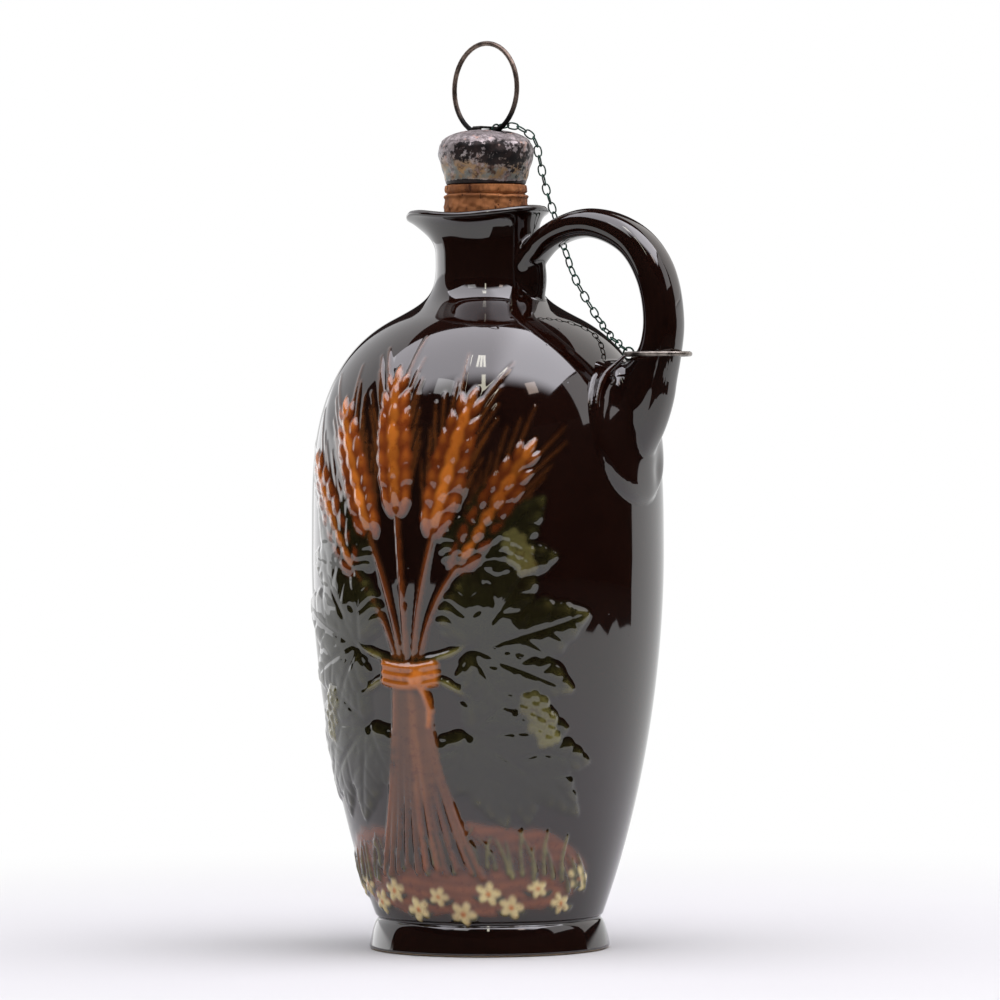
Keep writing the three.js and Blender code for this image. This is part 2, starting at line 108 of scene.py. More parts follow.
SPOUT_REACH = 6.3
SPOUT_SHARPNESS = 2.6
SPOUT_SWELL = 1.1
SPOUT_DROOP = 3
RIM_RISE = 2.1
RIM_DIP = 0.8
WALL = 4.8
FLOOR_THICKNESS = 6.5
AXIS_GAP = 0.4

# Driving sizes of the handle, as in the CAD part
STRAP_HALF_WIDTH = 6.5
STRAP_HALF_THICKNESS = 5
ARCH_HALF_THICKNESS = 4.1
ARCH_Z = LIP_Z - 4.15
ARCH_X = 33.4
STRAP_REACH = 15.65
SECTION_POWER = 2.5
ROOT_X = NECK_RADIUS - 3.3
ROOT_Z = ARCH_Z - 13.7
ROOT_OUT_X = NECK_RADIUS + 6.1
ROOT_OUT_Z = ARCH_Z - 3.8
ROOT_HALF_THICKNESS = 3.4
PAD_HALF_HEIGHT = 13.5
PAD_HALF_WIDTH = 5.9
PAD_PROUD = 4.5
PAD_Z = NECK_Z - 4
TONGUE_TOP_Z = SHOULDER_Z - 12.8
TONGUE_TIP_Z = TONGUE_TOP_Z - 38.7
TONGUE_HALF_WIDTH = 18.6
TONGUE_TOP_HALF_WIDTH = 7
TONGUE_WIDEST = 0.53
TONGUE_PROUD = 2.2
TONGUE_CREST = 4.8
CREST_HALF_WIDTH = 8.5
TONGUE_BURY = 2

# The strap below its arch: how far inward, how far over the tongue's top, how much thicker and wider
STRAP_FOOT = ((1.4, 2.3, 0.5, 0.2), (5.2, -5.7, 2.9, 1.1), (8.2, -14.7, 3.1, 1.2), (13.3, -26.2, 2.4, 0))

# The relief: where its middle lies round the body, how far it reaches, and the steps of the body's grid
RELIEF_MIDDLE = math.radians(-87)
RELIEF_FROM = math.radians(-150)
RELIEF_TO = math.radians(-9)
RELIEF_FADE = math.radians(4)
RELIEF_LOW_Z = 10.5
RELIEF_HIGH_Z = 171
RELIEF_STEP = 0.38
PLAIN_STEP = 1.5
NECK_STEP = 0.7
UNDERSIDE_STEP = 4
INSIDE_STEP = 3.2
THROAT_STEP = 0.6

# Glaze, as sRGB
GLAZE = (26, 9, 5)
GLAZE_BREAK = (112, 50, 24)
GLAZE_POOL = (16, 6, 4)

# Slips, as sRGB: what each shows under the glaze, and where the glaze breaks over it
AMBER = ((204, 116, 40), (204, 116, 40))
GRAIN = ((132, 62, 24), (204, 116, 40))
STRAW = ((112, 64, 28), (132, 62, 24))
OLIVE = ((30, 28, 11), (132, 124, 66))
CONE_CORE = ((30, 28, 11), (122, 116, 66))
CONE_SCALE = ((122, 116, 66), (122, 116, 66))
CREAM = ((232, 212, 150), (232, 212, 150))
GROUND = (136, 70, 32)


def linear(colour):
    """An sRGB colour, 0 to 255, as the linear values that shaders and attributes hold."""
    share = np.asarray(colour, float) / 255
    return np.where(share <= 0.04045, share / 12.92, ((share + 0.055) / 1.055) ** 2.4)


def smoothstep(values, low, high):
    t = np.clip((values - low) / (high - low), 0, 1)
    return t * t * (3 - 2 * t)


def window(values, low, full_from, full_to, high):
    """1 between full_from and full_to, easing to 0 at low and high."""
    return smoothstep(values, low, full_from) * (1 - smoothstep(values, full_to, high))


def full_turn(count):
    return np.linspace(0, 2 * math.pi, count, endpoint=False)


def swept(radius, turns, z):
    """Points at a radius and a turn about the flask's axis, and at a height. Each may be a row or a grid."""
    return np.stack(np.broadcast_arrays(radius * np.cos(turns), radius * np.sin(turns), z), -1)


def put(name, data):
    """Adds an object that holds the given mesh, lamp or camera."""
    item = bpy.data.objects.new(name, data)
    bpy.context.scene.collection.objects.link(item)
    return item


class Shader:
    """The node tree of a new material or world, with short ways to add and join nodes."""

    def __init__(self, name, kind="materials"):
        self.owner = getattr(bpy.data, kind).new(name)
        self.owner.use_nodes = True
        self.tree = self.owner.node_tree
        self.tree.nodes.clear()
        self.where = self.add("TexCoord").outputs

    def add(self, kind, inputs=(), **settings):
        """Adds a node. What goes into an input is a number, a colour or the output of another node."""
        node = self.tree.nodes.new("ShaderNode" + kind)
        for name, value in settings.items():
            setattr(node, name, value)
        for key, value in dict(inputs).items():
            socket = node.inputs[key]
            if isinstance(value, bpy.types.NodeSocket):
                self.tree.links.new(value, socket)
            elif socket.type == "RGBA":
                socket.default_value = (*map(float, value), 1)
            else:
                socket.default_value = value
        return node

    def end(self, kind, inputs, output="OutputMaterial"):
        """Ends the tree with a shader of a kind, and gives back the material or world."""
        self.add(output, {0: self.add(kind, inputs).outputs[0]})
        return self.owner

    def along(self, axis="Z", place="Object"):
        """How far a point lies along an axis, which for Z is its height over the table, in metres."""
        return self.add("SeparateXYZ", {0: self.where[place]}).outputs[axis]

    def noise(self, scale, detail=3, roughness=0.5, stretch=(1, 1, 1)):
        place = self.add("Mapping", {"Vector": self.where["Object"], "Scale": stretch}).outputs[0]
        inputs = {"Vector": place, "Scale": scale, "Detail": detail, "Roughness": roughness}
        return self.add("TexNoise", inputs).outputs["Fac"]

    def remap(self, value, low, high, to_low=0, to_high=1):
        inputs = {"Value": value, "From Min": low, "From Max": high, "To Min": to_low, "To Max": to_high}
        return self.add("MapRange", inputs, interpolation_type="SMOOTHSTEP").outputs["Result"]

    def math(self, operation, a, b):
        return self.add("Math", {0: a, 1: b}, operation=operation).outputs[0]

    def times(self, a, b):
        return self.math("MULTIPLY", a, b)

    def mix(self, share, a, b, blend="MIX"):
        """Mixes two colours, which are sRGB where they are tuples and linear where they are arrays.

        The node's own colours are its inputs 6 and 7 and its output 2."""
        a, b = (linear(colour) if isinstance(colour, tuple) else colour for colour in (a, b))
        return self.add("Mix", {0: share, 6: a, 7: b}, data_type="RGBA", blend_type=blend).outputs[2]

    def attribute(self, name):
        return self.add("Attribute", attribute_type="GEOMETRY", attribute_name=name).outputs["Color"]

    def bump(self, height, strength, distance, before=None):
        """A bumped normal, on top of the one before it where that is given."""
        inputs = {"Height": height, "Strength": strength, "Distance": distance}
        if before is not None:
            inputs["Normal"] = before
        return self.add("Bump", inputs).outputs["Normal"]


# Camera, lamps, world and floor

WORLD_PALE = 1.0
WORLD_DARK = 0.02
PALE_UP_TO = math.radians(6.5)
DARK_FROM = math.radians(9.5)
FLOOR_RADIUS = 12
FLOOR_STEPS = 96
FLOOR_NEAR = 0.10
FLOOR_FAR = 0.42
FLOOR_COLOUR = 0.6
CEILING_HEIGHT = 1.44
CEILING_WIDTH = 2.7
CEILING_FRONT = 1.22
CEILING_BACK = -0.45
CEILING_FADE = 0.5
CEILING_TINT = (0.95, 0.93, 1.0)
CEILING_LIGHT = (3.3, 4.9)
CEILING_TURNS_BRIGHT = (0.05, 0.35)
ROOM_COLOUR = (0.03, 0.025, 0.022)
ROOM_RADIUS = 1.5
ROOM_HEIGHT = 0.75
ROOM_LEFT = -106
ROOM_RIGHT = 107
ROOM_STEPS = 256
ROOM_LIFT = 0.002

# The near edge of the unlit side on the floor: degrees from the camera to the right, and reach in metres
ROOM_EDGE_TURNS = (-106, -60, -8, 8, 15, 20, 27, 34, 41, 48, 59, 65, 71, 76, 79, 84, 88, 92, 95, 103, 107)
ROOM_EDGE_REACHES = (
    1.0, 1.3, 1.3, 1.2, 0.7, 0.43, 0.43, 0.46, 0.5, 0.48, 0.55,
    0.6, 0.6, 0.7, 0.66, 0.62, 0.74, 0.8, 0.72, 0.8, 0.82,
)

# Soft boxes that face the flask: degrees from the camera to the right, degrees up, distance, size,
# radiance and colour
LAMPS = {
    "left_wall": (-136, 22, 1.5, (1.5, 1.9), 1.0, (0.98, 0.98, 1)),
    "right_wall": (134, 30, 1.35, (1.3, 1.0), 1.0, (1, 0.97, 0.95)),
    "right_high": (84, 31, 1.45, (0.72, 0.6), 1.3, (1, 0.97, 0.98)),
    "front_fill": (-34, 46, 1.7, (0.42, 0.42), 2.2, (1, 1, 1)),
    **{f"window_slat_{k}": (4.5 * k - 9, 68, 1.3, (0.028, 0.26), 7.0, (1, 0.97, 0.84)) for k in range(3)},
    "window_strip": (-1, 46, 1.3, (0.05, 0.44), 6.0, (1, 0.96, 0.78)),
    "window_panes": (38, 43, 1.5, (0.16, 0.2), 3.4, (1, 0.8, 0.7)),
}


def level_direction(degrees):
    """A level direction, turned from the camera's side to the right."""
    turn = math.radians(degrees)
    return BACK * math.cos(turn) + RIGHT * math.sin(turn)


def place_camera():
    data = bpy.data.cameras.new("photo_camera")
    data.sensor_width = SENSOR_WIDTH
    data.lens = LENS
    data.clip_end = 50
    camera = put("photo_camera", data)
    camera.location = BACK * VIEW_DISTANCE + UP * VIEW_HEIGHT
    aim = RIGHT * AIM_RIGHT + UP * AIM_HEIGHT
    turn = (aim - camera.location).to_track_quat("-Z", "Y").to_matrix()
    camera.rotation_euler = (turn @ Matrix.Rotation(VIEW_ROLL, 3, "Z")).to_euler()
    bpy.context.scene.camera = camera


def light_the_stage():
    for name, (turn, elevation, distance, size, radiance, colour) in LAMPS.items():
        rise = math.radians(elevation)
        direction = level_direction(turn) * math.cos(rise) + UP * math.sin(rise)
        data = bpy.data.lights.new(name, "AREA")
        data.shape = "RECTANGLE"
        data.size, data.size_y = size
        data.energy = radiance * math.pi * size[0] * size[1]
        data.color = colour
        lamp = put(name, data)
        lamp.location = UP * VIEW_HEIGHT + direction * distance
        lamp.rotation_euler = (-direction).to_track_quat("-Z", "Y").to_euler()
        lamp.visible_camera = False


def stage_object(name, vertices, faces, material):
    mesh = bpy.data.meshes.new(name)
    mesh.from_pydata(vertices, [], faces)
    mesh.materials.append(material)
    item = put(name, mesh)
    return item


def make_ceiling():
    """A pale ceiling panel, cool in colour and brighter on the right, that fades towards the camera."""
    s = Shader("ceiling")
    fade = s.remap(s.along("X"), CEILING_FRONT, CEILING_FRONT - CEILING_FADE)
    light = s.remap(s.along("Y"), *CEILING_TURNS_BRIGHT, *CEILING_LIGHT)
    material = s.end("Emission", {"Color": CEILING_TINT, "Strength": s.times(fade, light)})
    back, front, half = CEILING_BACK, CEILING_FRONT, CEILING_WIDTH / 2
    places = [(back, -half, 0), (back, half, 0), (front, half, 0), (front, -half, 0)]
    panel = stage_object("ceiling", places, [(0, 1, 2, 3)], material)
    panel.location.z = CEILING_HEIGHT
    panel.rotation_euler.z = VIEW_AZIMUTH - math.pi / 2
    panel.visible_camera = False


def make_room_side():
    """The unlit side of the room, behind the camera: what the glaze shows as its dark reflection.

    On the floor it comes up to a ragged edge, nearer to the flask on the right."""
    material = Shader("room_side").end("BsdfDiffuse", {"Color": ROOM_COLOUR})
    rows = []
    for turn in np.linspace(ROOM_LEFT, ROOM_RIGHT, ROOM_STEPS + 1):
        way = level_direction(turn)
        edge = way * float(np.interp(turn, ROOM_EDGE_TURNS, ROOM_EDGE_REACHES))
        foot = way * ROOM_RADIUS
        rows += [(edge.x, edge.y, ROOM_LIFT), (foot.x, foot.y, ROOM_LIFT), (foot.x, foot.y, ROOM_HEIGHT)]
    faces = []
    for i in range(0, 3 * ROOM_STEPS, 3):
        faces += [(i, i + 3, i + 4, i + 1), (i + 1, i + 4, i + 5, i + 2)]
    stage_object("room_side", rows, faces, material).visible_camera = False


def make_world():
    """Pale up to a little over the horizon, as a studio sweep, and dark above it, as a room."""
    s = Shader("studio", "worlds")
    ramp = s.add("ValToRGB", {0: s.along("Z", "Generated")})
    ramp.color_ramp.interpolation = "EASE"
    stops = ((PALE_UP_TO, WORLD_PALE), (DARK_FROM, WORLD_DARK))
    for element, (rise, light) in zip(ramp.color_ramp.elements, stops):
        element.position = math.sin(rise)
        element.color = (light, light, light, 1)
    bpy.context.scene.world = s.end("Background", {"Color": ramp.outputs["Color"]}, "OutputWorld")


def make_floor():
    """A pale disc that keeps the flask's shadow and melts into the world further out."""
    s = Shader("floor")
    length = s.add("VectorMath", {0: s.where["Object"]}, operation="LENGTH").outputs["Value"]
    near = s.add("BsdfDiffuse", {"Color": (FLOOR_COLOUR,) * 3}).outputs[0]
    far = s.add("Emission", {"Color": (WORLD_PALE,) * 3}).outputs[0]
    material = s.end("MixShader", {0: s.remap(length, FLOOR_NEAR, FLOOR_FAR), 1: near, 2: far})
    rim = swept(FLOOR_RADIUS, full_turn(FLOOR_STEPS), 0)
    stage_object("floor", rim, [list(range(FLOOR_STEPS))], material)


# Shapes of the thrown body


def curve(points, steps):
    """A Bezier curve from its first control point to its last, as rows."""
    t = np.linspace(0, 1, steps + 1)[:, None]
    layers = [np.asarray(p, float)[None, :] * np.ones_like(t) for p in points]
    while len(layers) > 1:
        layers = [a * (1 - t) + b * t for a, b in zip(layers, layers[1:])]
    return layers[0]


def spline(points, steps, power=0):
    """A Catmull-Rom curve through points, whose knots follow a power of the distances between them."""
    points = np.asarray(points, float)
    p = np.vstack((2 * points[0] - points[1], points, 2 * points[-1] - points[-2]))
    t = np.linspace(0, 1, steps, endpoint=False)[:, None]
    out = []
    for a, b, c, d in zip(p, p[1:], p[2:], p[3:]):
        first, middle, last = (np.linalg.norm(v) ** power for v in (b - a, c - b, d - c))
        leave = ((b - a) / first - (c - a) / (first + middle) + (c - b) / middle) * middle
        arrive = ((c - b) / middle - (d - b) / (middle + last) + (d - c) / last) * middle
        bend_2 = 3 * (c - b) - 2 * leave - arrive
        bend_3 = 2 * (b - c) + leave + arrive
        out.append(b + leave * t + bend_2 * t ** 2 + bend_3 * t ** 3)
    return np.vstack(out + [p[-2:-1]])


def chained(stretches):
    """One line out of stretches that each begin where the one before ends."""
    return np.vstack([stretches[0]] + [stretch[1:] for stretch in stretches[1:]])


def directions(line):
    """The unit direction of a line at each of its points."""
    along = np.gradient(line, axis=0)
    return along / np.linalg.norm(along, axis=1)[:, None]


def outer_profile():
    """The outside, from the middle of the underside up to the top of the lip, as (radius, height)."""
    slope = np.array((-math.cos(SHOULDER_ANGLE), math.sin(SHOULDER_ANGLE)))
    edge = (FOOT_RADIUS - FOOT_EDGE, 0)
    spread = (FOOT_SPREAD, FOOT_SPREAD_Z)
    crease = (CREASE_RADIUS, CREASE_Z)
    waist = (WAIST_RADIUS, WAIST_Z)
    waist_reach = (WAIST_RADIUS + WAIST_REACH * WAIST_SLOPE, WAIST_Z + WAIST_REACH)
    belly = (BELLY_RADIUS, BELLY_Z)
    shoulder = np.array((SHOULDER_RADIUS, SHOULDER_Z))
    out, into = shoulder - slope * SHOULDER_REACH_OUT, shoulder + slope * SHOULDER_REACH_IN
    neck = (NECK_RADIUS, NECK_Z)
    lip = (LIP_RADIUS, LIP_Z - LIP_ROLL)
    leaning = (FOOT_SPREAD - FOOT_LEAN, FOOT_LEAN_Z)
    return chained([
        curve([(AXIS_GAP, 0), edge], 60),
        curve([edge, (FOOT_SPREAD, 0), spread], 20),
        curve([spread, leaning, (FOOT_RADIUS - FOOT_TURN_IN, FOOT_HEIGHT), crease], 50),
        curve([crease, (CREASE_RADIUS - CREASE_OPEN, CREASE_Z + CREASE_OPEN), waist], 16),
        curve([waist, waist_reach, (BELLY_RADIUS, BELLY_Z - BELLY_REACH_DOWN), belly], 300),
        curve([belly, (BELLY_RADIUS, BELLY_Z + BELLY_REACH_UP), out, shoulder], 300),
        curve([shoulder, into, (NECK_RADIUS, NECK_Z - NECK_REACH), neck], 100),
        curve([neck, (NECK_RADIUS, TRUMPET_Z), (TRUMPET_RADIUS, TRUMPET_TOP_Z), lip], 100),
        curve([lip, (LIP_RADIUS, LIP_Z), (LIP_RADIUS - LIP_ROLL, LIP_Z)], 20),
    ])


def profile_normals(profile):
    along = directions(profile)
    return np.stack((along[:, 1], -along[:, 0]), axis=1)


def inner_profile(outer):
    """The inside, from the top of the lip down the throat and the wall to the middle of the floor."""
    inside = outer - profile_normals(outer) * WALL
    radius, z = inside.T
    chest = inside[(z > FLOOR_THICKNESS + WALL / 2) & (z < NECK_Z) & (radius > BORE_RADIUS + 0.3)][::-1]
    throat_top = (THROAT_RADIUS, LIP_Z - LIP_ROLL)
    throat_in = (THROAT_RADIUS - THROAT_TAPER, LIP_Z - LIP_FLARE - 1)
    bore_top = (BORE_RADIUS, THROAT_Z)
    bore_low = (BORE_RADIUS, min(chest[0, 1] + WALL / 2, THROAT_Z - 1))
    floor_corner = (FOOT_RADIUS - FOOT_EDGE - WALL, FLOOR_THICKNESS)
    return chained([
        curve([(LIP_RADIUS - LIP_ROLL, LIP_Z), (THROAT_RADIUS, LIP_Z), throat_top], 12),
        curve([throat_top, throat_in, (BORE_RADIUS, THROAT_Z + LIP_FLARE), bore_top], 60),
        curve([bore_top, bore_low], 10),
        chest,
        curve([chest[-1], floor_corner], 4),
        curve([floor_corner, (AXIS_GAP, FLOOR_THICKNESS)], 30),
    ])


def lengths_along(profile):
    steps = np.linalg.norm(np.diff(profile, axis=0), axis=1)
    return np.concatenate(([0], np.cumsum(steps)))


def resample(profile, step_at):
    """Points along a profile whose spacing follows step_at(radius, height)."""
    length = lengths_along(profile)
    marks = [0.0]
    while marks[-1] < length[-1]:
        radius, height = (np.interp(marks[-1], length, profile[:, k]) for k in (0, 1))
        marks.append(marks[-1] + step_at(radius, height))
    marks = np.array(marks) * (length[-1] / marks[-1])
    return np.stack([np.interp(marks, length, profile[:, k]) for k in (0, 1)], axis=1)


def outer_step(radius, height):
    if radius < FOOT_RADIUS - 3 and height < 1:
        return UNDERSIDE_STEP
    return NECK_STEP if height > RELIEF_HIGH_Z else RELIEF_STEP


def inner_step(radius, height):
    return THROAT_STEP if height > LIP_Z - 8 else INSIDE_STEP


def column_angles():
    """The turns of the body's columns: close together under the relief, wider apart elsewhere."""
    fine = np.arange(RELIEF_FROM, RELIEF_TO, RELIEF_STEP / BELLY_RADIUS)
    rest = 2 * math.pi - (RELIEF_TO - RELIEF_FROM)
    count = int(rest * BELLY_RADIUS / PLAIN_STEP)
    return np.concatenate((fine, RELIEF_TO + rest * np.arange(count) / count))


def draw_spout(points):
    """Draws the lip out into the spout and lets the rim rise towards the spout and the handle."""
    x, y, z = points[..., 0], points[..., 1], points[..., 2]
    radius = np.maximum(np.hypot(x, y), 0.3)
    share = smoothstep(z, SPOUT_START_Z, LIP_Z)
    facing = np.maximum(-x / radius, 0) ** SPOUT_SHARPNESS
    grown = 1 + SPOUT_REACH * facing * share ** SPOUT_SWELL / radius
    wave = RIM_RISE * (x / radius) ** 2 - RIM_DIP - SPOUT_DROOP * facing ** 4
    return np.stack((x * grown, y * grown, z + wave * share), axis=-1)


def wobble(turns, z):
    """The slight unevenness of a thrown wall, which is calm at the handle."""
    uneven = (
        0.10 * np.sin(2 * turns + z / 37)
        + 0.07 * np.sin(3 * turns - z / 23 + 1.3)
        + 0.05 * np.sin(5 * turns + z / 11 + 0.4)
        + 0.04 * np.sin(z / 6.5 + 2 * np.sin(turns))
    )
    return uneven * smoothstep(-np.cos(turns), -0.9, -0.55)


# The relief: a tied sheaf of barley with leafy bines and cones, standing on a painted ground


def heading(turn):
    """The directions along and across a lean of turn from straight up, to the right."""
    return np.array((math.sin(turn), math.cos(turn))), np.array((math.cos(turn), -math.sin(turn)))


class Relief:
    """Height and colour over a patch of wall: u runs round it and v up it, both in millimetres."""

    def __init__(self, u, v):
        self.u = u
        self.v = v
        self.height = np.zeros_like(u)
        self.colour = np.tile(linear(GLAZE), (*u.shape, 1))
        self.broken = np.tile(linear(GLAZE_BREAK), (*u.shape, 1))

    def near(self, points, reach):
        """The cells in a box round points that reaches out from them."""
        low, high = np.min(points, 0) - reach, np.max(points, 0) + reach
        return np.nonzero((self.u > low[0]) & (self.u < high[0]) & (self.v > low[1]) & (self.v < high[1]))

    def lay(self, where, height, colour, broken, soft=0.14):
        """Lays clay over what is there, where it stands higher. Broken shows where the glaze breaks."""
        old = self.height[where]
        over = smoothstep(height - old, -soft, soft) * (height > 0.01)
        self.height[where] = np.maximum(old, old + over * (height - old))
        self.tint(where, over, colour, broken)

    def tint(self, where, cover, colour, broken):
        self.colour[where] += cover[:, None] * (colour - self.colour[where])
        self.broken[where] += cover[:, None] * (broken - self.broken[where])

    def local(self, at, turn, reach):
        """The cells within reach of a place, and how far they lie along and across a heading from it."""
        where = self.near([at], reach)
        du, dv = self.u[where] - at[0], self.v[where] - at[1]
        return where, du * math.sin(turn) + dv * math.cos(turn), du * math.cos(turn) - dv * math.sin(turn)

    def bead(self, at, turn, size, height, colours, point=0.0, tilt=0.0):
        """A domed drop of clay, pointed at its far end by point and standing up there by tilt, 0 to 1."""
        where, along, across = self.local(at, turn, max(size))
        taper = 1 - point * np.clip(2 * along / size[0], -0.2, 1) ** 2 * 0.75
        inside = 1 - (2 * along / size[0]) ** 2 - (2 * across / (size[1] * taper)) ** 2
        leaning = 1 + tilt * np.clip(2 * along / size[0], -1, 1)
        self.lay(where, height * leaning * np.maximum(inside, 0) ** 0.5, *colours)

    def stroke(self, points, widths, height, colours):
        """A rounded strip of clay along a line of points, with a width at each."""
        points = np.asarray(points, float)
        where = self.near(points, max(widths))
        u, v = self.u[where], self.v[where]
        best = np.full(u.shape, 9.0)
        for (a, b, wide, thin) in zip(points, points[1:], widths, widths[1:]):
            span = b - a
            share = np.clip(((u - a[0]) * span[0] + (v - a[1]) * span[1]) / (span @ span), 0, 1)
            gap = np.hypot(u - a[0] - share * span[0], v - a[1] - share * span[1])
            best = np.minimum(best, gap / (0.5 * (wide + share * (thin - wide))))
        rise = np.where(best < 1, height * (1 - np.minimum(best, 1) ** 2) ** 0.6, 0)
        self.lay(where, rise, *colours)

    def bend(self, start, middle, end, widths, height, colours, steps=12):
        """A strip of clay that bends from start to end, with a width at each of these."""
        self.stroke(curve([start, middle, end], steps), np.linspace(*widths, steps + 1), height, colours)

    def lobe(self, at, turn, length, width, height, colours):
        """One pointed lobe of a leaf, swelling between its sunk midrib and side veins."""
        where, along, across = self.local(at, turn, length)
        share = np.clip(along / length, 0, 1)
        teeth = 1 + 0.06 * np.sin(share * 40)
        half = 0.5 * width * np.sin(math.pi * share ** 0.72) ** 0.8 * teeth + 1e-3
        side = np.abs(across) / half
        inside = (along > 0) & (along < length) & (side < 1)
        fall = 0.5 + 0.5 * np.sin(math.pi * share ** 0.8)
        dome = height * (1 - np.minimum(side, 1) ** 3.2) ** 0.7 * fall
        rib = np.exp(-((across / 0.7) ** 2)) * (1 - 0.6 * share)
        spacing = length / 5
        phase = (along - 0.8 * np.abs(across)) / spacing
        near_vein = (phase - np.round(phase)) * spacing / 0.55
        branch = np.exp(-(near_vein ** 2)) * np.minimum(side * 3, 1) * (side < 0.88)
        self.lay(where, np.where(inside, dome - 0.42 * rib - 0.26 * branch, 0), *colours)


GROUND_AT = (5, 25)
GROUND_HALF = (43, 14)
GROUND_LINE = 30
TIE_V = 80
STALKS = 11
BLADES = 40
FLOWERS = 12

# Ears as (lean in degrees, length of straw over the tie, shade)
EARS = ((-31, 33, 0.75), (-17, 40, 1.1), (-3.5, 45, 1.0), (12, 40, 0.85), (27, 33, 0.6))
EAR_LENGTH = 37
EAR_WIDTH = 11.5
EAR_ROWS = 7

# Bines on the right, which the left mirrors: three points (u, v) and the width at the end
BINES = (((2, 80), (24, 78), (31, 44), 1.4), ((2, 84), (26, 84), (35, 120), 1.2))

# Lobes of a leaf as (lean, length, width), leaves as (u, v, turn, size, height, shade)
LEAF_LOBES = ((-1.32, 0.6, 0.5), (1.32, 0.6, 0.5), (-0.66, 0.86, 0.5), (0.66, 0.86, 0.5), (0, 1, 0.56))
LEAVES_BEHIND = (
    (-20, 108, -0.75, 27, 1.1, 0.9),
    (20, 110, 0.8, 27, 1.1, 0.9),
    (-29, 62, -2.4, 27, 1.1, 0.9),
    (29, 60, 2.45, 26, 1.1, 0.9),
)
LEAVES_IN_FRONT = (
    (-15, 66, -2.25, 33, 1.35, 1.0),
    (16, 64, 2.2, 33, 1.35, 1.0),
    (-17, 88, -1.25, 36, 1.5, 1.1),
    (18, 87, 1.3, 36, 1.5, 1.1),
)

# Hop cones as (u, v, turn, length, width)
CONES = ((-30, 76, -2.85, 15, 9.5), (33, 75, 2.8, 15, 9.5), (29, 119, 2.7, 12, 8))
CONE_ROWS = 6


def leaf(relief, u, v, turn, size, height, shade):
    for lean, share, wide in LEAF_LOBES:
        relief.lobe((u, v), turn + lean, size * share, size * wide, height, linear(OLIVE) * shade)


def ear(relief, root, turn, shade, chance):
    """An ear of barley: three rows of grains and the long awns that stand out from them."""
    direction, sideways = heading(turn)
    steps = []
    for k in range(EAR_ROWS):
        share = (k + 0.5) / EAR_ROWS
        width = EAR_WIDTH * math.sin(math.pi * (0.2 + 0.72 * share)) ** 0.6
        steps.append((root + direction * EAR_LENGTH * share, width))
    for place, width in steps:
        for side in (-1, 1):
            lean = turn + side * (0.2 + 0.12 * chance.random())
            start = place + sideways * side * width * 0.36
            reach = heading(lean)[0] * EAR_LENGTH * (0.36 + 0.1 * chance.random())
            line = [start, start + reach * 0.5, start + reach]
            relief.stroke(line, (1.0, 0.8, 0.4), 0.5, linear(STRAW) * 0.8 * shade)
    for place, width in steps:
        grain = linear(GRAIN) * shade * (0.75 + 0.4 * chance.random())
        for side in (-1, 1):
            at = place + sideways * side * width * 0.27
            relief.bead(at, turn + side * 0.34, (EAR_LENGTH * 0.25, width * 0.4), 1.05, grain, 0.9, 0.45)
    for place, width in steps:
        at = place + direction * EAR_LENGTH * 0.06
        grain = linear(AMBER) * shade * (0.65 + 0.6 * chance.random())
        relief.bead(at, turn, (EAR_LENGTH * 0.24, width * 0.36), 1.3, grain, 0.9, 0.4)


def cone(relief, u, v, turn, length, width):
    """A hop cone that hangs from its stalk: overlapping scales on a drop of clay."""
    direction, sideways = heading(turn)
    root = np.array((u, v))
    relief.bead(root + direction * length * 0.5, turn, (length, width), 1.1, linear(CONE_CORE))
    for k in reversed(range(CONE_ROWS)):
        share = (k + 0.5) / CONE_ROWS
        spread = width * 0.5 * math.sin(math.pi * (0.12 + 0.76 * share)) ** 0.8
        scale = linear(CONE_SCALE) * (0.45 + 0.35 * share)
        count, reach = (3, 0.66) if k % 2 else (2, 0.38)
        for off in np.linspace(-1, 1, count) * spread * reach:
            place = root + direction * length * share + sideways * off
            height = 1.75 - 0.35 * abs(off) / spread
            relief.bead(place, turn, (length * 0.32, width * 0.44), height, scale, 0.6)


def flower(relief, at, size, chance):
    spin = chance.random() * math.pi
    for turn in spin + full_turn(5):
        relief.bead(at + heading(turn)[0] * size * 0.52, turn, (size * 0.8, size * 0.56), 0.9, linear(CREAM))
    relief.bead(at, 0, (size * 0.42, size * 0.42), 1.1, linear(AMBER))


def ground(relief):
    """A painted brown ground with soft ends, streaked, and darker behind the stalks."""
    u = (relief.u - GROUND_AT[0]) / GROUND_HALF[0]
    v = (relief.v - GROUND_AT[1]) / GROUND_HALF[1]
    ragged = 0.03 * np.sin(relief.u / 3.1) + 0.02 * np.sin(relief.u / 1.3 + relief.v)
    reach = np.sqrt(np.abs(u) ** 2.3 + np.abs(v) ** 2.3 + 1e-9) + ragged
    where = np.nonzero(reach < 1.05)
    cover = 1 - smoothstep(reach[where], 0.88, 1.03)
    hollow = np.exp(-((u[where] + 0.05) / 0.62) ** 2 - ((v[where] - 0.42) / 0.34) ** 2)
    streak = 0.85 + 0.15 * np.sin(relief.v[where] * 1.9 + 2.5 * np.sin(relief.u[where] / 7))
    shade = (streak * (1 - 0.72 * hollow))[:, None]
    relief.tint(where, cover, linear(GROUND) * shade, linear(GROUND) * shade * 1.4)
    relief.height[where] = 0.22 * cover


def stalks(relief, chance):
    """The straws under the tie, spread like a skirt."""
    for spread in np.linspace(-1, 1, STALKS):
        u = spread * 15 + chance.uniform(-0.8, 0.8)
        v = GROUND_LINE - 3 - 3 * spread ** 2 - chance.uniform(0, 3)
        straw = linear(STRAW) * chance.uniform(0.6, 1.3)
        relief.bend((spread * 4.8, TIE_V), (spread * 5, 55), (u, v), (1.5, 2.2), 1.25, straw)


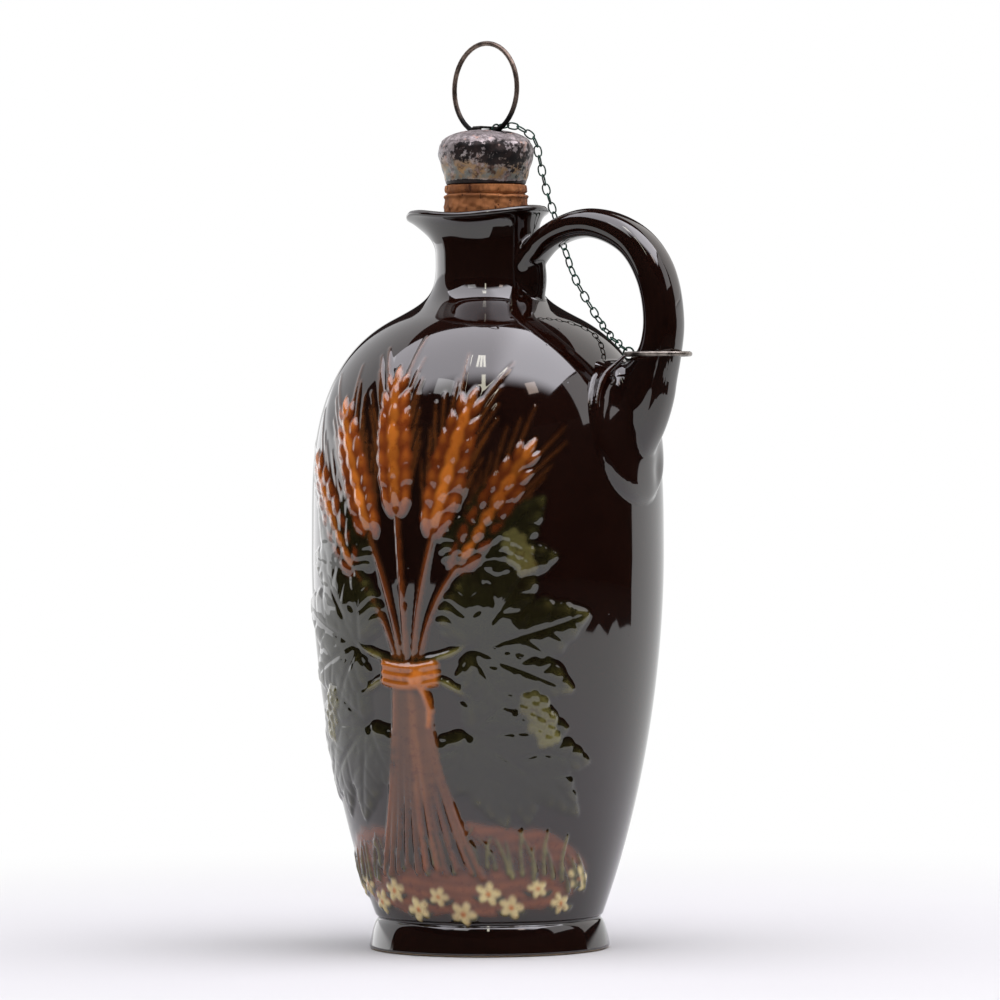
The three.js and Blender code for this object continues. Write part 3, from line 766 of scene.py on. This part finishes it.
def ears(relief, chance):
    """The straws over the tie and their ears, the middle one last."""
    tie = np.array((0, TIE_V))
    heads = []
    for degrees, reach, shade in EARS:
        lean = math.radians(degrees)
        side = math.sin(lean)
        root = tie + heading(lean)[0] * reach
        relief.bend((side * 6, TIE_V), tie + (side * 12, 18), root, (1.8, 1.4), 0.95, linear(STRAW) * 0.9)
        heads.append((root, lean * 1.15, shade))
    for k in (0, 4, 1, 3, 2):
        ear(relief, *heads[k], chance)


def bines(relief):
    for side in (-1, 1):
        for *points, thin in BINES:
            line = [(side * u, v) for u, v in points]
            relief.bend(*line, (2.2, thin), 1.0, linear(OLIVE) * 1.3, 14)


def band(relief):
    """The band that ties the sheaf, and its knot."""
    for lift, shade in ((-2.3, 0.8), (0, 1.0), (2.3, 0.85)):
        v = TIE_V + lift
        relief.bend((-7.6, v + 0.6), (0, v - 1.4), (7.6, v + 0.6), (2.7, 2.7), 2.05, linear(AMBER) * shade)
    relief.bead((2.5, TIE_V - 0.6), 0.5, (6.8, 4.8), 2.6, linear(AMBER) * 1.15)
    tail = ((3, TIE_V - 2), (7, TIE_V - 8), (5, TIE_V - 14))
    relief.bend(*tail, (2.4, 1.3), 2.1, linear(AMBER) * 0.9)


def grass(relief, chance):
    for place in np.linspace(-44, 44, BLADES):
        u = GROUND_AT[0] + place + chance.uniform(-1, 1)
        foot = GROUND_LINE - 9 * ((u - GROUND_AT[0]) / GROUND_HALF[0]) ** 2 - chance.uniform(0, 4)
        tip = (u + chance.uniform(-4, 4), foot + chance.uniform(5, 11))
        blade = linear(OLIVE) * chance.uniform(0.9, 1.9)
        relief.bend((u, foot - 2), (u, foot + 4), tip, (1.8, 0.5), 1.1, blade, 6)


def flowers(relief, chance):
    """Small flowers in two rows along the ground, each with two leaves."""
    for k in range(FLOWERS):
        u = GROUND_AT[0] - 39 + 7.1 * k + chance.uniform(-1.2, 1.2)
        row = 3.6 if k % 2 else -1.2
        v = GROUND_AT[1] - 11 + 5 * ((u - GROUND_AT[0]) / GROUND_HALF[0]) ** 2 + row
        v += chance.uniform(-0.8, 0.8)
        for side in (-1, 1):
            sprig = (u + side * 2.9, v - 1.6)
            relief.bead(sprig, side * 1.1, (4.2, 1.7), 0.55, linear(OLIVE) * 1.6, 0.8)
        flower(relief, np.array((u, v)), chance.uniform(3.2, 4.2), chance)


def draw_relief(relief):
    chance = random.Random(7)
    ground(relief)
    stalks(relief, chance)
    bines(relief)
    for row in LEAVES_BEHIND:
        leaf(relief, *row)
    ears(relief, chance)
    for row in LEAVES_IN_FRONT:
        leaf(relief, *row)
    for row in CONES:
        cone(relief, *row)
    band(relief)
    grass(relief, chance)
    flowers(relief, chance)


def blur(grid, rounds):
    """Three-point smoothing. Each pass turns the grid over, so that both directions take part."""
    for _ in range(2 * rounds):
        padded = np.pad(grid, ((1, 1), (0, 0)), mode="edge")
        grid = ((padded[:-2] + 2 * padded[1:-1] + padded[2:]) / 4).T
    return grid


def glaze_over(relief):
    """Runs glaze over the relief: it smooths it, pools dark in its hollows and breaks pale on edges."""
    height = blur(relief.height, 3)
    ridge = height - blur(height, 22)
    thin = smoothstep(ridge, 0.05, 0.4)[..., None]
    deep = smoothstep(-ridge, 0.04, 0.32)[..., None]
    colour = relief.colour + (relief.broken - relief.colour) * thin * 0.75
    colour = np.clip(colour + (linear(GLAZE_POOL) - colour) * deep * 0.82, 0, 1)
    return height, np.stack([blur(colour[..., k], 2) for k in range(3)], -1)


# Meshes


def grid_faces(rows, columns):
    i, j = np.meshgrid(np.arange(rows - 1), np.arange(columns), indexing="ij")
    k = (j + 1) % columns
    corners = (i * columns + j, i * columns + k, (i + 1) * columns + k, (i + 1) * columns + j)
    return np.stack(corners, -1).reshape(-1, 4)


def closed_skin(points):
    """A closed skin over rows of points, with a fan over the first and last rows: vertices and faces."""
    rows, columns = points.shape[:2]
    low, last = rows * columns, (rows - 1) * columns
    faces = grid_faces(rows, columns).tolist()
    faces += [[low, (j + 1) % columns, j] for j in range(columns)]
    faces += [[low + 1, last + j, last + (j + 1) % columns] for j in range(columns)]
    return np.vstack((points.reshape(-1, 3), points[0].mean(0), points[-1].mean(0))), faces


def new_object(name, vertices, faces):
    """A smooth object from points in millimetres."""
    mesh = bpy.data.meshes.new(name)
    mesh.from_pydata(np.asarray(vertices, float) * MM, [], faces)
    mesh.shade_smooth()
    mesh.update()
    return put(name, mesh)


def paint(piece, name, colours):
    """Gives a piece a colour attribute. Points past the last row of colours stay white."""
    attribute = piece.data.color_attributes.new(name, "FLOAT_COLOR", "POINT")
    rgba = np.ones((len(piece.data.vertices), 4), np.float32)
    rgba[: len(colours), : colours.shape[1]] = colours
    attribute.data.foreach_set("color", rgba.ravel())


def dress(piece, node, body, material):
    """Gives a piece its material and its body, and hides the node that it stands for."""
    piece.data.materials.clear()
    piece.data.materials.append(material)
    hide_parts(node)
    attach(piece, body)


def make_body(material):
    outer = resample(outer_profile(), outer_step)
    inner = resample(inner_profile(outer_profile()), inner_step)[1:]
    radius, z = outer[:, :1], outer[:, 1:]
    angles = column_angles()
    length = lengths_along(outer)
    side = outer[:, 0] > FOOT_RADIUS - 2
    start = np.interp(RELIEF_LOW_Z, outer[side, 1], length[side])
    turn = (angles - RELIEF_MIDDLE + math.pi) % (2 * math.pi) - math.pi
    relief = Relief(radius * turn, (length - start + RELIEF_LOW_Z)[:, None] * np.ones(len(angles)))
    draw_relief(relief)
    shown = smoothstep(angles - RELIEF_FROM, 0, RELIEF_FADE) * smoothstep(RELIEF_TO - angles, 0, RELIEF_FADE)
    height, colour = glaze_over(relief)
    colour = colour + (1 - shown)[None, :, None] * (linear(GLAZE) - colour)
    proud = height * shown + smoothstep(z, 2, 14) * wobble(angles, z)
    normals = profile_normals(outer)
    skin = draw_spout(swept(radius + normals[:, :1] * proud, angles, z + normals[:, 1:] * proud))
    hollow = draw_spout(swept(inner[:, :1], angles, inner[:, 1:]))
    body = new_object("flask_glazed", *closed_skin(np.concatenate((skin, hollow))))
    plain = np.tile(linear(GLAZE), (len(hollow) * len(angles), 1))
    paint(body, "slip", np.vstack((colour.reshape(-1, 3), plain)))
    dress(body, "flask_body", "flask", material)


# Materials

# Flaws of the glaze: scale, detail and roughness of their noise, where in it they start and end,
# their strength and the linear colour that stains them
GLAZE_FLAWS = (
    (75, 5, 0.62, 0.38, 0.72, 0.5, (0.5, 0.36, 0.3)),
    (240, 4, 0.7, 0.52, 0.68, 0.55, (0.5, 0.3, 0.2)),
    (620, 3, 0.7, 0.6, 0.72, 0.45, (0.4, 0.28, 0.22)),
)


def glaze_material():
    """Treacle glaze over stoneware and coloured slips: deep brown, glassy, with small flaws.

    The flat underside is wiped clean of glaze, so that it shows the bare buff stoneware."""
    s = Shader("treacle_glaze")
    colour = s.attribute("slip")
    for scale, detail, roughness, low, high, strength, stain in GLAZE_FLAWS:
        flaw = s.remap(s.noise(scale, detail, roughness), low, high)
        colour = s.mix(s.times(flaw, strength), colour, np.array(stain), "MULTIPLY")
    bare = s.remap(s.along(), 0.0002, 0.0007, 1, 0)
    clay = s.mix(s.remap(s.noise(300, 4, 0.7), 0.4, 0.65), (186, 160, 126), (150, 120, 88))
    gloss = s.remap(s.noise(55, 3, 0.6), 0.3, 0.8, 0.02, 0.07)
    ripple = s.bump(s.noise(90, 2, 0.4), 0.045, 0.0006)
    cells = s.add("TexVoronoi", {"Vector": s.where["Object"], "Scale": 230}).outputs["Distance"]
    return s.end("BsdfPrincipled", {
        "Base Color": s.mix(bare, colour, clay),
        "IOR": 1.75,
        "Roughness": s.math("ADD", gloss, s.times(bare, 0.75)),
        "Normal": s.bump(s.remap(cells, 0.02, 0.09), 0.05, 0.0003, ripple),
    })


def cork_material():
    """Stained cork, streaked up and down, with dark pits."""
    s = Shader("cork")
    grain = s.noise(300, 5, 0.65, (1, 1, 0.35))
    broad = s.noise(80, 3, 0.5, (1, 1, 0.6))
    base = s.mix(s.remap(broad, 0.38, 0.62), (176, 114, 68), (108, 62, 32))
    grained = s.mix(s.times(s.remap(grain, 0.45, 0.66), 0.65), base, (88, 48, 24))
    pits = s.remap(s.noise(560, 3, 0.6, (1, 1, 0.5)), 0.61, 0.7)
    return s.end("BsdfPrincipled", {
        "Base Color": s.mix(s.times(pits, 0.75), grained, (62, 30, 12)),
        "Roughness": 0.82,
        "Specular IOR Level": 0.3,
        "Normal": s.bump(s.math("SUBTRACT", 1, pits), 0.6, 0.0004, s.bump(grain, 0.5, 0.0005)),
    })


def metal_material(name, light, dark, rough, scale, metallic=0.9):
    s = Shader(name)
    return s.end("BsdfPrincipled", {
        "Base Color": s.mix(s.remap(s.noise(scale, 4, 0.6), 0.38, 0.66), light, dark),
        "Metallic": metallic,
        "Roughness": s.remap(s.noise(scale * 1.7, 3, 0.6), 0.3, 0.7, *rough),
        "Normal": s.bump(s.noise(scale * 5, 2, 0.5), 0.15, 0.0002),
    })


PULL_RING_LOW = 0.2315
PULL_RING_HIGH = 0.2375


def pull_ring_material():
    """Browned steel wire, black with old tarnish where it turns in its staple."""
    s = Shader("pull_ring_metal")
    patches = s.remap(s.noise(260, 4, 0.65), 0.38, 0.66)
    wire = s.mix(patches, (118, 102, 92), (58, 48, 42))
    uneven = s.times(s.math("SUBTRACT", s.noise(420, 3, 0.6), 0.5), 0.004)
    black = s.remap(s.math("ADD", s.along(), uneven), PULL_RING_LOW, PULL_RING_HIGH, 1, 0)
    return s.end("BsdfPrincipled", {
        "Base Color": s.mix(black, wire, (16, 15, 15)),
        "Metallic": 0.8,
        "Roughness": s.math("ADD", s.remap(patches, 0, 1, 0.34, 0.5), s.times(black, 0.25)),
        "Normal": s.bump(s.noise(900, 3, 0.6), 0.3, 0.0002),
    })


def cap_material():
    """Worn white metal: grey dome, black tarnish on the side, deepened by painted dark reflection and
    painted shade, painted highlights of pale metal, and ochre and pink bloom low down.
    """
    s = Shader("cap_metal")
    black, bloom, bright = s.add("SeparateColor", {0: s.attribute("wear")}).outputs
    coarse, middle, fine = s.noise(150, 5, 0.7), s.noise(310, 5, 0.75), s.noise(640, 4, 0.7)
    grey = s.mix(s.remap(fine, 0.35, 0.65), (168, 158, 158), (98, 90, 90))
    pink = s.mix(s.times(s.remap(middle, 0.55, 0.64), 0.7), grey, (190, 148, 130))
    ochre = s.mix(s.remap(s.noise(240, 4, 0.6), 0.42, 0.58), (158, 124, 84), (116, 118, 112))
    rust = s.mix(s.remap(middle, 0.5, 0.62), ochre, (84, 62, 50))
    bloomed = s.mix(s.times(bloom, s.remap(coarse, 0.36, 0.52)), pink, rust)
    # Painted highlight: pale bluish metal where the third channel says.
    lit = s.mix(s.times(bright, s.remap(fine, 0.3, 0.7)), bloomed, (170, 182, 190))
    worn = s.times(s.math("SUBTRACT", coarse, 0.5), 2.2)
    speckle = s.times(s.math("SUBTRACT", fine, 0.5), 2.4)
    mask = s.remap(s.math("ADD", black, s.math("ADD", worn, speckle)), 0.38, 0.66)
    # The black of tarnish, painted dark reflection and painted shade.
    tarnish_reflection_and_shade = s.mix(s.remap(middle, 0.4, 0.6), (20, 17, 18), (48, 36, 34))
    return s.end("BsdfPrincipled", {
        "Base Color": s.mix(mask, lit, tarnish_reflection_and_shade),
        "Metallic": 0.6,
        "Roughness": s.remap(fine, 0.3, 0.7, 0.34, 0.62),
        "Normal": s.bump(fine, 0.35, 0.00025, s.bump(coarse, 0.3, 0.0004)),
    })


# The handle, melted together out of its strap, pad and tongue and filleted into the wall

HANDLE_VOXEL = 0.45
BEAD_RADIUS = 1.35

# Smoothing: how far a round moves a point, and the rounds for the whole handle, for its crease with
# the wall, for the web at the tongue's top and for finding its ridges
RELAX_SHARE = 0.5
WHOLE_ROUNDS = 9
CREASE_ROUNDS = 16
WEB_ROUNDS = 60
RIDGE_ROUNDS = 16

# Where the web lies, out from the wall and up, and how far from there its smoothing fades
WEB_OUT = 5
WEB_Z = 160
WEB_FADE = (7, 14)

# Patches of wall that the handle melts into, as (low z, high z, half turn in degrees), with the depths
# under the wall that they lie between and the step of their grid
PATCHES = ((118, 171, 29), (173, 200.5, 40))
PATCH_TOP = 0.1
PATCH_DEPTH = 2.6
PATCH_STEP = 1.0

DIMPLE_Y = 7.5
DIMPLE_Z = 133
DIMPLE_WIDTH = 3.4
DIMPLE_HEIGHT = 5.2
DIMPLE_DEPTH = 0.9

# The rolled edge from the strap's side round the tongue: share of the tongue's height, how far out
# from its middle, how proud of the wall, and thickness against its full radius
ROLLED_EDGE = (
    (1.06, 6.6, 11.0, 0.7),
    (0.99, 8.4, 7.0, 0.9),
    (0.92, 11.0, 3.9, 1.0),
    (0.82, 13.9, 2.1, 1.0),
    (0.68, 16.7, 1.4, 0.8),
    (0.52, 17.7, 1.0, 0.5),
    (0.4, 17.2, 0.7, 0.3),
)


class Wall:
    """The outside of the body above its waist, as a radius and a slope for each height."""

    def __init__(self):
        profile = outer_profile()
        self.profile = profile[(profile[:, 1] > 20) & (profile[:, 1] < LIP_Z - 1)]
        self.r, self.z = self.profile.T
        self.slope = np.gradient(self.r, self.z)

    def radius(self, heights):
        return np.interp(heights, self.z, self.r)

    def proud(self, points):
        """How far points stand proud of the wall."""
        x, y, z = points.T
        return (np.hypot(x, y) - self.radius(z)) / np.sqrt(1 + np.interp(z, self.z, self.slope) ** 2)

    def patch(self, low_z, high_z, half_turn):
        """A slab just under the wall's surface, which the handle melts into."""
        inside = self.profile[(self.z > low_z) & (self.z < high_z)]
        part = resample(inside, lambda radius, height: PATCH_STEP)
        turns = np.linspace(-half_turn, half_turn, int(2 * half_turn * part[:, 0].mean() / PATCH_STEP))
        top, bottom = (part - profile_normals(part) * depth for depth in (PATCH_TOP, PATCH_DEPTH))
        front = swept(top[:, :1], turns, top[:, 1:])
        back = swept(bottom[:, :1], turns[::-1], bottom[:, 1:])
        return closed_skin(np.concatenate((front, back), axis=1))


def strap_skin(wall):
    reach_x = wall.radius(TONGUE_TOP_Z) + STRAP_REACH

    def part_way(over, down):
        return ARCH_X + (reach_x - ARCH_X) * over, ARCH_Z + (SHOULDER_Z - ARCH_Z) * down

    thickness, width = STRAP_HALF_THICKNESS, STRAP_HALF_WIDTH
    rows = [
        (ROOT_X, ROOT_Z, ROOT_HALF_THICKNESS, PAD_HALF_WIDTH),
        (ROOT_OUT_X, ROOT_OUT_Z, ROOT_HALF_THICKNESS, PAD_HALF_WIDTH),
        (ARCH_X, ARCH_Z, ARCH_HALF_THICKNESS, width),
        (*part_way(0.57, 0.18), (ARCH_HALF_THICKNESS + thickness) / 2, width),
        (*part_way(0.88, 0.53), thickness, width),
        (reach_x, SHOULDER_Z - 1, thickness, width),
    ]
    for inward, over, thicker, wider in STRAP_FOOT:
        rows.append((reach_x - inward, TONGUE_TOP_Z + over, thickness + thicker, width + wider))
    rows = np.array(rows)
    centre, half = spline(rows[:, :2], 20, 0.5), spline(rows[:, 2:], 20)
    along = directions(centre)
    turns = full_turn(48)

    def flatten(values):
        return np.sign(values) * np.abs(values) ** (2 / SECTION_POWER)

    across = half[:, 1:] * flatten(np.cos(turns))
    out = half[:, :1] * flatten(np.sin(turns))
    x, z = centre[:, :1] - along[:, 1:] * out, centre[:, 1:] + along[:, :1] * out
    return closed_skin(np.stack((x, across, z), -1))


def pad_skin():
    lift = np.linspace(-math.pi / 2, math.pi / 2, 40)[1:-1, None]
    turns = full_turn(40)
    x = BORE_RADIUS + (PAD_PROUD + NECK_RADIUS - BORE_RADIUS) * np.cos(lift) * np.cos(turns)
    y = PAD_HALF_WIDTH * np.cos(lift) * np.sin(turns)
    z = PAD_Z + PAD_HALF_HEIGHT * np.sin(lift) * np.ones_like(turns)
    return closed_skin(np.stack((x, y, z), -1))


def tongue_z(share):
    return TONGUE_TIP_Z + (TONGUE_TOP_Z - TONGUE_TIP_Z) * share


def tongue_half_width(share):
    """Half the tongue's width, by its share of the way from its tip to its top."""
    below = np.clip(1 - share / TONGUE_WIDEST, 0, 1)
    above = np.clip((share - TONGUE_WIDEST) / (1 - TONGUE_WIDEST), 0, 1)
    rounded = TONGUE_HALF_WIDTH * np.sqrt(np.maximum(1 - below ** 2.1, 0.02))
    tapered = TONGUE_HALF_WIDTH + (TONGUE_TOP_HALF_WIDTH - TONGUE_HALF_WIDTH) * above ** 2.4
    return np.where(share < TONGUE_WIDEST, rounded, tapered)


def tongue_skin(wall):
    """The broad tongue: crowned under the strap, with a thumb's dimple low on its right half."""
    share = (0.5 - 0.5 * np.cos(np.linspace(0, math.pi, 70)))[:, None]
    side = np.linspace(-1, 1, 70)[None, :]
    z = tongue_z(share)
    radius = wall.radius(z)
    half = tongue_half_width(share)
    rise = np.minimum(1, np.sqrt(share * 6)) * (1 - 0.5 * smoothstep(share, 0.85, 1))
    crown = TONGUE_CREST * smoothstep(share, 0.18, 0.9) * np.exp(-((half * side / CREST_HALF_WIDTH) ** 2))
    off = ((half * side - DIMPLE_Y) / DIMPLE_WIDTH) ** 2 + ((z - DIMPLE_Z) / DIMPLE_HEIGHT) ** 2
    proud = (TONGUE_PROUD * rise + crown) * np.sqrt(1 - side ** 6) - DIMPLE_DEPTH * np.exp(-off)
    turn = half / radius * side
    front = swept(radius + proud, turn, z)
    buried = swept(radius - TONGUE_BURY, turn, z)[:, 1:-1]
    return closed_skin(np.concatenate((front, buried[:, ::-1]), axis=1))


def rolled_edge_skin(wall, side):
    share, out, proud, thick = spline(ROLLED_EDGE, 10).T
    z = tongue_z(share)
    radius = wall.radius(z)
    turn = side * out / radius
    centre = swept(radius + proud, turn, z)
    along = directions(centre)
    outward = swept(1, turn, 0)
    outward -= along * (outward * along).sum(1)[:, None]
    outward /= np.linalg.norm(outward, axis=1)[:, None]
    around = full_turn(16)[None, :, None]
    ring = np.cos(around) * outward[:, None] + np.sin(around) * np.cross(along, outward)[:, None]
    return closed_skin(centre[:, None] + BEAD_RADIUS * thick[:, None, None] * ring)


def read(items, name, width, kind=float):
    """A value of each vertex or edge of a mesh, as rows."""
    values = np.zeros(len(items) * width, kind)
    items.foreach_get(name, values)
    return values.reshape(-1, width)


def relax(points, edges, weights, rounds):
    """Moves each point towards the mean of its neighbours, as far as its weight allows."""
    here, there = np.concatenate((edges, edges[:, ::-1])).T
    count = np.maximum(np.bincount(here, minlength=len(points)), 1)
    for _ in range(rounds):
        mean = [np.bincount(here, points[there, axis], len(points)) / count for axis in range(3)]
        points = points + (np.stack(mean, 1) - points) * weights[:, None] * RELAX_SHARE
    return points


def apply_modifier(piece, name, kind, **settings):
    """Runs one modifier over a piece and puts the result into its mesh."""
    modifier = piece.modifiers.new(name, kind)
    for key, value in settings.items():
        setattr(modifier, key, value)
    graph = bpy.context.evaluated_depsgraph_get()
    mesh = bpy.data.meshes.new_from_object(piece.evaluated_get(graph))
    piece.modifiers.clear()
    piece.data = mesh


def joined_mesh(parts):
    vertices, faces, base = [], [], 0
    for points, polygons in parts:
        vertices.append(points)
        faces += [[i + base for i in polygon] for polygon in polygons]
        base += len(points)
    return np.concatenate(vertices), faces


def set_points(piece, points):
    piece.data.vertices.foreach_set("co", (points * MM).ravel())
    piece.data.update()


def make_handle(material):
    """Melts the handle's parts into one skin, smooths it and shows thin glaze on its ridges."""
    wall = Wall()
    parts = [strap_skin(wall), pad_skin(), tongue_skin(wall)]
    parts += [rolled_edge_skin(wall, side) for side in (-1, 1)]
    parts += [wall.patch(low, high, math.radians(half)) for low, high, half in PATCHES]
    piece = new_object("handle_glazed", *joined_mesh(parts))
    apply_modifier(piece, "melt", "REMESH", mode="VOXEL", voxel_size=HANDLE_VOXEL * MM)
    points = read(piece.data.vertices, "co", 3) / MM
    edges = read(piece.data.edges, "vertices", 2, int)
    everywhere = np.ones(len(points))
    points = relax(points, edges, everywhere, WHOLE_ROUNDS)
    crease = window(wall.proud(points), -0.4, 0.2, 1.5, 4.5)
    points = relax(points, edges, crease, CREASE_ROUNDS)
    apart = np.linalg.norm(points - (wall.radius(TONGUE_TOP_Z) + WEB_OUT, 0, WEB_Z), axis=1)
    points = relax(points, edges, 1 - smoothstep(apart, *WEB_FADE), WEB_ROUNDS)
    ridge = points - relax(points, edges, everywhere, RIDGE_ROUNDS)
    set_points(piece, points)
    sharp = (ridge * read(piece.data.vertices, "normal", 3)).sum(1)
    thin = smoothstep(sharp, 0.1, 0.45)[:, None]
    paint(piece, "slip", linear(GLAZE) + (linear(GLAZE_BREAK) - linear(GLAZE)) * thin * 0.6)
    piece.data.shade_smooth()
    dress(piece, "handle", "flask", material)


# The stopper, with outlines as (radius, height)

CORK_OUTLINE = (
    (9.4, 186), (10.2, 186.8), (10.5, 193), (11.8, 205.4), (11.8, 207), (11.5, 209.6),
    (11.45, 213.3), (10.1, 213.4), (10.1, 224.0), (9.3, 224.8),
)
CORK_SHOWS_FROM = 203
CORK_SHOWS_TO = 213.6
CORK_FINE_STEP = 0.28
CORK_STEP = 1.2
CORK_CREASE_Z = 210.9
CORK_CREASE_DEPTH = 0.8
CORK_LEAN = 0.12
CORK_PITS = 80


def cork_step(radius, height):
    return CORK_FINE_STEP if CORK_SHOWS_FROM < height < CORK_SHOWS_TO else CORK_STEP


def make_cork(material):
    """A worn cork with a nearly level crease round its head, a lip of cork under it, and pits."""
    chance = random.Random(11)
    profile = resample(np.array(CORK_OUTLINE, float), cork_step)
    angles = full_turn(168)
    z = profile[:, 1:] * np.ones_like(angles)
    across = np.cos(angles) * RIGHT.x + np.sin(angles) * RIGHT.y
    line = CORK_CREASE_Z - CORK_LEAN * across + 0.12 * np.sin(3 * angles)
    open_part = window(z, CORK_SHOWS_FROM, 205, 213.0, 213.35)
    crease = CORK_CREASE_DEPTH * np.exp(-(((z - line) / 0.3) ** 2))
    swell = 0.4 * np.exp(-(((z - line + 0.75) / 0.5) ** 2)) + 0.1 * np.exp(-(((z - line - 1.1) / 0.8) ** 2))
    rough = 0.07 * np.sin(9 * angles + z * 1.3) + 0.05 * np.sin(23 * angles - z * 2.1)
    rough += 0.05 * np.sin(14 * angles + 4 * np.sin(z))
    radius = profile[:, :1] + open_part * (swell - crease + rough)
    for _ in range(CORK_PITS):
        middle, height = chance.uniform(0, 2 * math.pi), chance.uniform(204.5, 213)
        wide, tall, deep = chance.uniform(0.2, 0.5), chance.uniform(0.25, 0.9), chance.uniform(0.1, 0.5)
        gap = (np.abs(angles - middle + math.pi) % (2 * math.pi) - math.pi) * profile[:, :1].max()
        radius = radius - deep * np.exp(-((gap / wide) ** 2) - ((z - height) / tall) ** 2)
    cork = new_object("cork_worn", *closed_skin(swept(radius, angles, z)))
    dress(cork, "cork", "stopper", material)


CAP_OUTLINE = (
    (10.35, 213.6), (11.1, 213.75), (11.9, 216.8), (12.85, 219.4), (13.3, 221.7), (13.15, 223.9),
    (12.75, 225.0), (12.55, 225.25), (12.3, 225.9), (10.6, 227.1), (8.0, 228.1), (5.3, 228.65),
    (2.6, 228.9), (0.3, 228.98),
)
CAP_BORE = ((0.3, 224.9), (10.4, 224.9), (10.4, 213.7))
RING_TURN = math.radians(-16.6)
POCKET_HALF_LENGTH = 9
POCKET_HALF_WIDTH = 2.6
POCKET_DEPTH = 2.6
PAINTED_REFLECTION_TURN = 0.2


def make_cap(material):
    """The cast cap, slightly dented, with the pocket in its top for the ring's bar.

    The cap's marks go in the three channels of a colour: black tarnish, deepened by painted dark reflection
    on the side that faces the camera and by painted shade in the pocket; bloom; and painted highlights of
    pale metal."""
    outline = resample(spline(CAP_OUTLINE, 12), lambda radius, height: 0.3)
    profile = np.vstack((CAP_BORE, outline))
    angles = full_turn(180)
    radius = profile[:, :1] * np.ones_like(angles)
    z = profile[:, 1:] * np.ones_like(angles)
    outside = (np.arange(len(profile)) >= len(CAP_BORE))[:, None]
    dents = 0.10 * np.sin(4 * angles + z * 0.9) + 0.07 * np.sin(7 * angles - z * 1.7 + 1)
    dents += 0.05 * np.sin(11 * angles + 2)
    radius = radius + outside * dents * smoothstep(radius, 4, 10) * smoothstep(z, 213.8, 215)
    along, across = radius * np.cos(angles - RING_TURN), radius * np.sin(angles - RING_TURN)
    over = np.maximum(np.abs(along) - (POCKET_HALF_LENGTH - POCKET_HALF_WIDTH), 0)
    inside = POCKET_HALF_WIDTH - np.hypot(over, across)
    z = z - outside * POCKET_DEPTH * smoothstep(inside, -0.35, 0.35) * (z > 225)
    cap = new_object("cap_worn", *closed_skin(swept(radius, angles, z)))
    # Painted light, by where the camera stands: the side that faces it is painted darker, as a dark
    # reflection, and the sides turned away paler, as a highlight.
    to_camera = math.atan2(BACK.y, BACK.x)
    facing = np.cos(angles - to_camera - PAINTED_REFLECTION_TURN)
    ragged = 0.6 * np.sin(5 * angles + 1) + 0.35 * np.sin(11 * angles)
    low = 219.2 - 3.4 * smoothstep(np.sin(angles - to_camera), -0.1, 0.6)
    side = smoothstep(z + ragged - low, -1.4, 1.6) * (1 - smoothstep(z, 224.6, 225.7))
    # Black tarnish round the side, deepened by painted dark reflection where it faces the camera.
    black = side * (0.3 + 0.7 * smoothstep(facing + 0.15 * np.sin(7 * angles), 0.35, 0.95))
    low_edge = 1 - smoothstep(z - 0.3 * np.sin(3 * angles), 214.0, 214.8)
    # Painted shade in the pocket under the ring's bar.
    pocket_dark = smoothstep(inside, -0.6, 0.2) * (z > 223)
    black = np.maximum(0.8 * black, 1.4 * np.maximum(low_edge, pocket_dark))
    bloom = window(z, 214.2, 215.2, 217.6, 222.5)
    # Painted highlight: pale metal on the sides turned away from the camera, below the dome.
    bright = smoothstep(-facing, -0.55, 0.4) * (1 - smoothstep(z, 222, 226)) * 0.7
    paint(cap, "wear", np.stack((black, bloom, bright), -1).reshape(-1, 3))
    dress(cap, "stopper_cap", "stopper", material)


# Wire pieces


def welded(mesh):
    """A mesh's points and faces with the corners that share a place joined, in millimetres."""
    points = np.round(read(mesh.vertices, "co", 3) / MM, 3)
    places, back = np.unique(points, axis=0, return_inverse=True)
    faces = [[int(i) for i in back.ravel()[list(polygon.vertices)]] for polygon in mesh.polygons]
    return places, [f for f in faces if len(set(f)) == len(f)]


def round_wire(frame, node, body, material, swell):
    """A smoother copy of a wire node, grown by swell to put back the thickness that smoothing takes."""
    places, faces = welded(frame["nodes"][node].data)
    piece = new_object(node + "_wire", places, faces)
    set_points(piece, places + read(piece.data.vertices, "normal", 3) * swell)
    apply_modifier(piece, "round", "SUBSURF", levels=1, render_levels=1)
    piece.data.shade_smooth()
    dress(piece, node, body, material)


def make_wires(frame):
    """The rings and the chain. The staple keeps the mesh of its solid."""
    steel = metal_material("ring_metal", (150, 142, 134), (66, 60, 56), (0.22, 0.42), 220)
    verdigris = metal_material("chain_metal", (34, 84, 68), (12, 18, 16), (0.4, 0.6), 380, 0.35)
    staple = metal_material("staple_metal", (58, 52, 48), (20, 18, 17), (0.35, 0.55), 300)
    round_wire(frame, "pull_ring", "pull_ring", pull_ring_material(), 0.06)
    round_wire(frame, "handle_ring", "collar", steel, 0.05)
    frame["nodes"]["ring_staple"].data.materials.clear()
    frame["nodes"]["ring_staple"].data.materials.append(staple)
    for node in sorted(frame["nodes"]):
        if node.startswith("chain_"):
            round_wire(frame, node, "stopper", verdigris, 0.09)


def corners(box):
    return [[float(value) for value in corner] for corner in box]


def main():
    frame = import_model()
    place_camera()
    light_the_stage()
    make_ceiling()
    make_room_side()
    make_world()
    make_floor()
    glaze = glaze_material()
    make_body(glaze)
    make_handle(glaze)
    make_cork(cork_material())
    make_cap(cap_material())
    make_wires(frame)
    bpy.context.scene.view_settings.view_transform = "Standard"


main()
